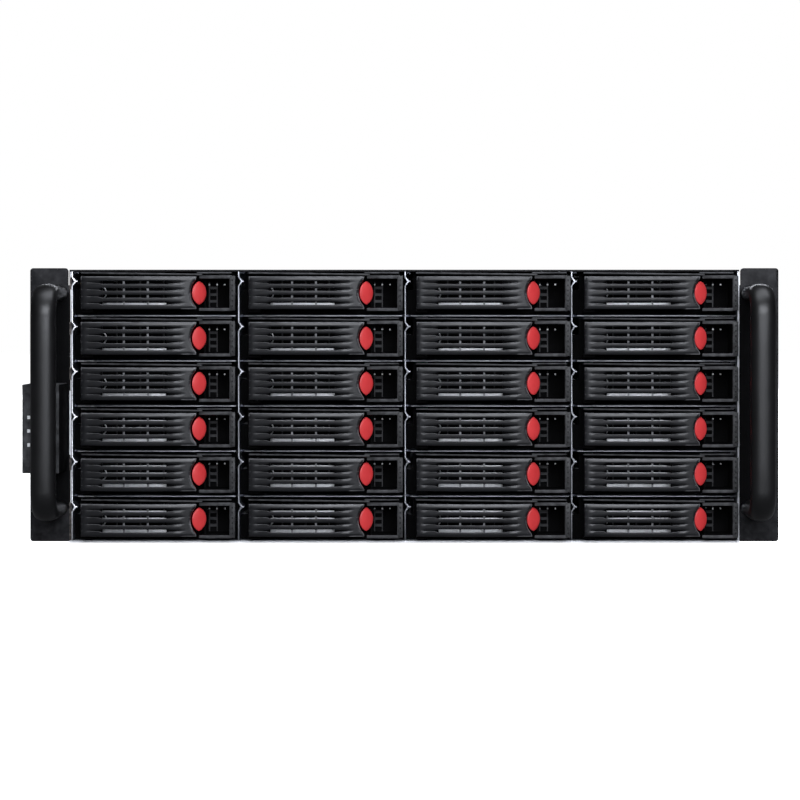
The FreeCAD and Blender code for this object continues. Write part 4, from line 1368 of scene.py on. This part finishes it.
# %% Contacts in the sockets
CONTACT_PITCH, CONTACT = mm(1.75, 2.4), mm(0.8, 1.3, 0.16)
CONTACT_U, CONTACT_Z = mm(36.0, 6.75)
contacts = bar_grid("contacts", contact_gold, counts=(22, 2), pitches=CONTACT_PITCH, bar=CONTACT,
                    at=(CONTACT_U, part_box("backplane_sockets")[0].y, CONTACT_Z))
socket_contacts = merged("socket_contacts", *[stamp(contacts, place) for place in places])
put(socket_contacts, "socket_contacts", "chassis", "brass")
print("contact faces:", len(socket_contacts.polygons))

# %% Where the screws sit
SIDE_Y, SIDE_Z = mm(60, 190, 268, 430, 610), mm(30, 88, 146)
FLANGE, FLANGE_Y, FLANGE_Z = 2.0 * MM, 17.0 * MM, mm(24, 56, 120, 152)
FAN_X, FAN_CORNER = mm(-137.4, 0.0, 137.4), mm(-52.5, 52.5)
WALL_SHEET = 1.2 * MM
ROOF_X, ROOF_Y = mm(-206, 206), mm(52, 114, 176, 240)
SLOTS, SLOT_PITCH, SLOT_HALF, SLOT_IN = 7, 20.32 * MM, 9.2 * MM, 5.5 * MM
REAR_X, REAR_Z = mm(-211, 121.4, 212.4), mm(22, 146)
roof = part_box("front_cover")[1].z
fans_low, fans_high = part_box("fan_frames")
covers_low, covers_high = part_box("slot_covers")


def side_points(x):
    return [(x, y, z) for y in SIDE_Y for z in SIDE_Z]


def flange_points(x):
    return [(x, FLANGE_Y, z) for z in FLANGE_Z]


fan_points = [(x + a, fans_high.y, FAN_Z + b) for x in FAN_X for a in FAN_CORNER for b in FAN_CORNER]
wall_points = [(x, fans_low.y - WALL_SHEET, z) for x, y, z in fan_points]
roof_points = [(x, y, roof) for x in ROOF_X for y in ROOF_Y]
slot_x = [covers_low.x + SLOT_HALF + SLOT_PITCH * k for k in range(SLOTS)]
card_points = [(x, covers_low.y + SLOT_IN, covers_high.z) for x in slot_x]
rear_points = [(x, tub_high.y, z) for x in REAR_X for z in REAR_Z]
side_x, flange_x = tub_high.x, tub_high.x + FLANGE
print("screws of the fans, the roof, the slots and the rear:",
      [len(points) for points in (fan_points, roof_points, card_points, rear_points)])

# %% Screws
UP, REARWARD, FORWARD = (0, 0, 0), (-math.pi / 2, 0, 0), (math.pi / 2, 0, 0)
LEFT, RIGHT = (0, -math.pi / 2, 0), (0, math.pi / 2, 0)
HEAD_HIGH = 0.28
SIDE_HEAD, FLANGE_HEAD, FAN_HEAD, REAR_HEAD = mm(2.6, 3.2, 2.9, 1.9)
SCREWS = [("side_left", side_points(-side_x), LEFT, SIDE_HEAD),
          ("side_right", side_points(side_x), RIGHT, SIDE_HEAD),
          ("flange_left", flange_points(-flange_x), LEFT, FLANGE_HEAD),
          ("flange_right", flange_points(flange_x), RIGHT, FLANGE_HEAD),
          ("fan", fan_points, REARWARD, FAN_HEAD), ("wall", wall_points, FORWARD, FAN_HEAD),
          ("roof", roof_points, UP, FAN_HEAD), ("card", card_points, UP, FAN_HEAD),
          ("rear", rear_points, REARWARD, REAR_HEAD)]
rows = []
for seed, (name, points, facing, radius) in enumerate(SCREWS):
    values = {"Radius": radius, "Height": HEAD_HIGH * radius, "Facing": facing, "Seed": seed,
              "Finish": screw_zinc}
    rows.append(grow(screws_on_points, name + "_screws", values, points))
put(merged("chassis_screws", *rows), "chassis_screws", "chassis", "galvanised_sheet")
print("screws:", sum(len(points) for _, points, _, _ in SCREWS))

# %% [markdown]
# ## Ears, handles and pod
# The ears are painted angle plates with rounded corners. The strip behind the grip, which the handle shades,
# gets a darker, matt paint as painted shade, so we cut the face along its outline and give it that finish.

# %% Painted shade behind a grip
STRIP_END, STRIP_DEEP = mm(5.0, 0.5)


def paint_handle_shade(bm, grip, face_y):
    low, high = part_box(grip)
    middle = (low.x + high.x) / 2
    bottom, top = low.z + STRIP_END, high.z - STRIP_END
    for at, way in (((middle, 0, 0), (1, 0, 0)), ((0, 0, bottom), (0, 0, 1)), ((0, 0, top), (0, 0, 1))):
        bmesh.ops.bisect_plane(bm, geom=[*bm.verts, *bm.edges, *bm.faces], plane_co=at, plane_no=way)
    # Faces behind the grip get the darker, matt paint as painted shade.
    for face in bm.faces:
        centre = face.calc_center_median()
        behind_grip = abs(centre.x) < abs(middle) and bottom < centre.z < top
        face.material_index = int(behind_grip and centre.y < face_y + STRIP_DEEP)


print("strips end", round(STRIP_END / MM, 1), "mm inside the handles' ends")

# %% Ears
NOTCH_DROP, NOTCH_FILL = mm(12.0, 1.15)
CORNER_ROUND, CORNER_STEPS, EAR_ROUND = 1.9 * MM, 5, 0.3 * MM


def ear_mesh(node, side):
    bm = solid_copy(node)
    low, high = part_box(node)
    outer = low.x if side < 0 else high.x
    notch = tub_high.x + FLANGE
    for v in bm.verts:
        at_notch = abs(abs(v.co.x) - notch) < HAIR and v.co.y < HAIR
        if at_notch and high.z - v.co.z < NOTCH_DROP:
            v.co.x = side * (notch - NOTCH_FILL)

    def is_corner(e):
        first, run = e.verts[0].co, e.verts[1].co - e.verts[0].co
        at_edge = abs(first.x - outer) < HAIR or high.z - first.z < HAIR
        return at_edge and abs(run.y) > FACING * run.length

    round_edges(bm, CORNER_ROUND, CORNER_STEPS, is_corner)
    round_edges(bm, EAR_ROUND)
    paint_handle_shade(bm, node.replace("ear", "handle"), low.y)
    return finish_mesh(bm, node, powder_black, handle_shade_black)


for node, side in (("left_ear", -1), ("right_ear", 1)):
    ear = ear_mesh(node, side)
    put(ear, node + "_plate", "chassis", "black_sheet", node)
    print(node, "faces:", len(ear.polygons))

# %% [markdown]
# Each handle is one bar bent back to its ear at both ends: we sweep a soft, nearly oval section along its
# bent path. The path gives for every step its place and how far the bar has turned.

# %% Path of a handle
BEND, GRIP_DEPTH = mm(14.0, 11.0)
BEND_STEPS, GRIP_STEPS = 10, 8


def handle_path(low, high):
    bottom, top = low.z + GRIP_DEPTH / 2, high.z - GRIP_DEPTH / 2
    front, rear = low.y + GRIP_DEPTH / 2, high.y
    quarter = math.pi / 2
    turns = [quarter * k / BEND_STEPS for k in range(BEND_STEPS + 1)]
    path = [(rear, bottom, 0.0), ((rear + front) / 2, bottom, 0.0)]
    for t in turns:
        path.append((front + BEND - BEND * math.sin(t), bottom + BEND - BEND * math.cos(t), t))
    for k in range(2, GRIP_STEPS - 1):
        path.append((front, bottom + (top - bottom) * k / GRIP_STEPS, quarter))
    for t in turns:
        path.append((front + BEND - BEND * math.cos(t), top - BEND + BEND * math.sin(t), quarter + t))
    return path + [((rear + front) / 2, top, math.pi), (rear, top, math.pi)]


# %% Handles
SECTION_POINTS = 32
SQUARENESS = 2.2


def soft_power(value):
    return math.copysign(abs(value) ** (2 / SQUARENESS), value)


def handle_mesh(node):
    low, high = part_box(node)
    half = (high.x - low.x) / 2
    middle = (low.x + high.x) / 2
    rings = []
    for y, z, lean in handle_path(low, high):
        ring = []
        for t in full_turn(SECTION_POINTS):
            across, out = half * soft_power(math.cos(t)), GRIP_DEPTH / 2 * soft_power(math.sin(t))
            ring.append((middle + across, y - out * math.sin(lean), z - out * math.cos(lean)))
        rings.append(ring)
    bm = bmesh.new()
    add_rings(bm, rings)
    bmesh.ops.recalc_face_normals(bm, faces=bm.faces)
    return finish_mesh(bm, node, handle_black, angle=60.0)


for node in ("left_handle", "right_handle"):
    bar = handle_mesh(node)
    put(bar, node + "_bar", "chassis", "handle_black", node)
    print(node, "faces:", len(bar.polygons))

# %% [markdown]
# The pod's case is moulded. Its inner side lies in the shade of the handle and gets the painted shade black.

# %% Pod
POD_ROUND = 0.5 * MM
pod_mesh = softened("control_pod", "control_pod", pod_black, POD_ROUND)
# The pod's inner side gets the darker black as painted shade.
pod_mesh.materials.append(painted_shade_black)
for face in pod_mesh.polygons:
    if face.normal.x > FACING:
        face.material_index = 1
put(pod_mesh, "pod_shell", "chassis", "pod_plastic", "control_pod")
print("pod faces:", len(pod_mesh.polygons))

# %% [markdown]
# ## Floor, light and camera
# A pale floor melts into a white world. Both are bright for the camera and dim for all other rays, so that
# they throw little light up at the black fronts. One broad soft box stands in front and a little to the
# right, one above and one behind. Two fills at the sides brighten dull surfaces only, so that they leave no
# bright lines on the handles.

# %% Floor
FLOOR_HALF = 6.0
FLOOR_DROP = 0.2 * MM
FLOOR_NOISE, FLOOR_ROUGH = 3.0, 0.8
FLOOR_DIM = (0.12, 0.12, 0.12)
FLOOR_PALE = (0.86, 0.86, 0.86), (0.90, 0.90, 0.90)


def floor_finish():
    material, tree, shader, where = start_finish("pale_floor", gloss=0.0)
    seen = add_node(tree, "ShaderNodeLightPath").outputs["Is Camera Ray"]
    pale = two_tone(tree, noise_of(tree, where, FLOOR_NOISE), *FLOOR_PALE)
    tree.links.new(two_tone(tree, seen, FLOOR_DIM, pale), shader.inputs["Base Color"])
    shader.inputs["Roughness"].default_value = FLOOR_ROUGH
    shader.inputs["Emission Color"].default_value = WHITE
    tree.links.new(span(tree, seen, 0.0, 1.0, 0.0, 1.0), shader.inputs["Emission Strength"])
    return material


bm = bmesh.new()
bmesh.ops.create_grid(bm, x_segments=2, y_segments=2, size=FLOOR_HALF)
floor_mesh = bpy.data.meshes.new("floor")
bm.to_mesh(floor_mesh)
bm.free()
floor_mesh.materials.append(floor_finish())
floor = bpy.data.objects.new("floor", floor_mesh)
floor.location.z = -FLOOR_DROP
bpy.context.scene.collection.objects.link(floor)
print("floor:", floor.name)

# %% World
WORLD_DIM = 0.05
world = bpy.data.worlds.new("studio")
bpy.context.scene.world = world
world.use_nodes = True
sky = world.node_tree
sight = add_node(sky, "ShaderNodeLightPath").outputs["Is Camera Ray"]
background = sky.nodes["Background"]
sky.links.new(span(sky, sight, WORLD_DIM, 1.0, 0.0, 1.0), background.inputs["Strength"])
background.inputs["Color"].default_value = WHITE
print("world:", world.name)

# %% Lights
COOL = (0.90, 0.93, 1.0)
BOXES = {
    "front_box": dict(place=(0.25, -1.9, 0.75), target=(0.0, 0.0, 0.09), wide=1.45, tall=1.0, power=41.0),
    "top_box": dict(place=(0.25, -0.25, 1.9), target=(0.1, 0.0, 0.1), wide=1.9, tall=1.2, power=26.0),
    "rear_box": dict(place=(0.1, 2.5, 0.85), target=(0.0, 0.5, 0.1), wide=1.8, tall=0.8, power=40.0),
}
FILL = dict(wide=1.6, tall=1.2, power=50.0)
FILL_AT, FILL_TARGET = Vector((2.2, 0.8, 1.1)), Vector((0.2, 0.4, 0.1))


def soft_box(name, place, target, wide, tall, power):
    light = bpy.data.lights.new(name, "AREA")
    light.color = COOL
    light.shape = "RECTANGLE"
    light.size, light.size_y, light.energy = wide, tall, power
    lamp = bpy.data.objects.new(name, light)
    lamp.location = place
    lamp.rotation_euler = (Vector(target) - Vector(place)).to_track_quat("-Z", "Y").to_euler()
    bpy.context.scene.collection.objects.link(lamp)
    return lamp


for name, sizes in BOXES.items():
    soft_box(name, **sizes)
for side in (-1, 1):
    mirror = Vector((side, 1, 1))
    fill = soft_box("side_fill", FILL_AT * mirror, FILL_TARGET * mirror, **FILL)
    fill.visible_glossy = False
print("lights:", [lamp.name for lamp in bpy.data.lights])

# %% [markdown]
# The camera stands straight in front, with a long lens. The lens is shifted, as in the photograph, so that
# upright lines stay upright.

# %% Camera
IMAGE = 800
SENSOR = 36.0
FOCAL_PX = 2167.0
HORIZON_PX = (440.0, 310.0)
CAMERA_AT = Vector((0.023, -1.40, 0.150))
camera = bpy.data.cameras.new("camera")
camera.sensor_width = SENSOR
camera.lens = FOCAL_PX / IMAGE * SENSOR
camera.shift_x = (IMAGE / 2 - HORIZON_PX[0]) / IMAGE
camera.shift_y = (HORIZON_PX[1] - IMAGE / 2) / IMAGE
view = bpy.data.objects.new("camera", camera)
view.location = CAMERA_AT
view.rotation_euler = (math.radians(90), 0.0, 0.0)
bpy.context.scene.collection.objects.link(view)
bpy.context.scene.camera = view
bpy.context.scene.view_settings.view_transform = "Standard"
print("lens:", round(camera.lens, 1))
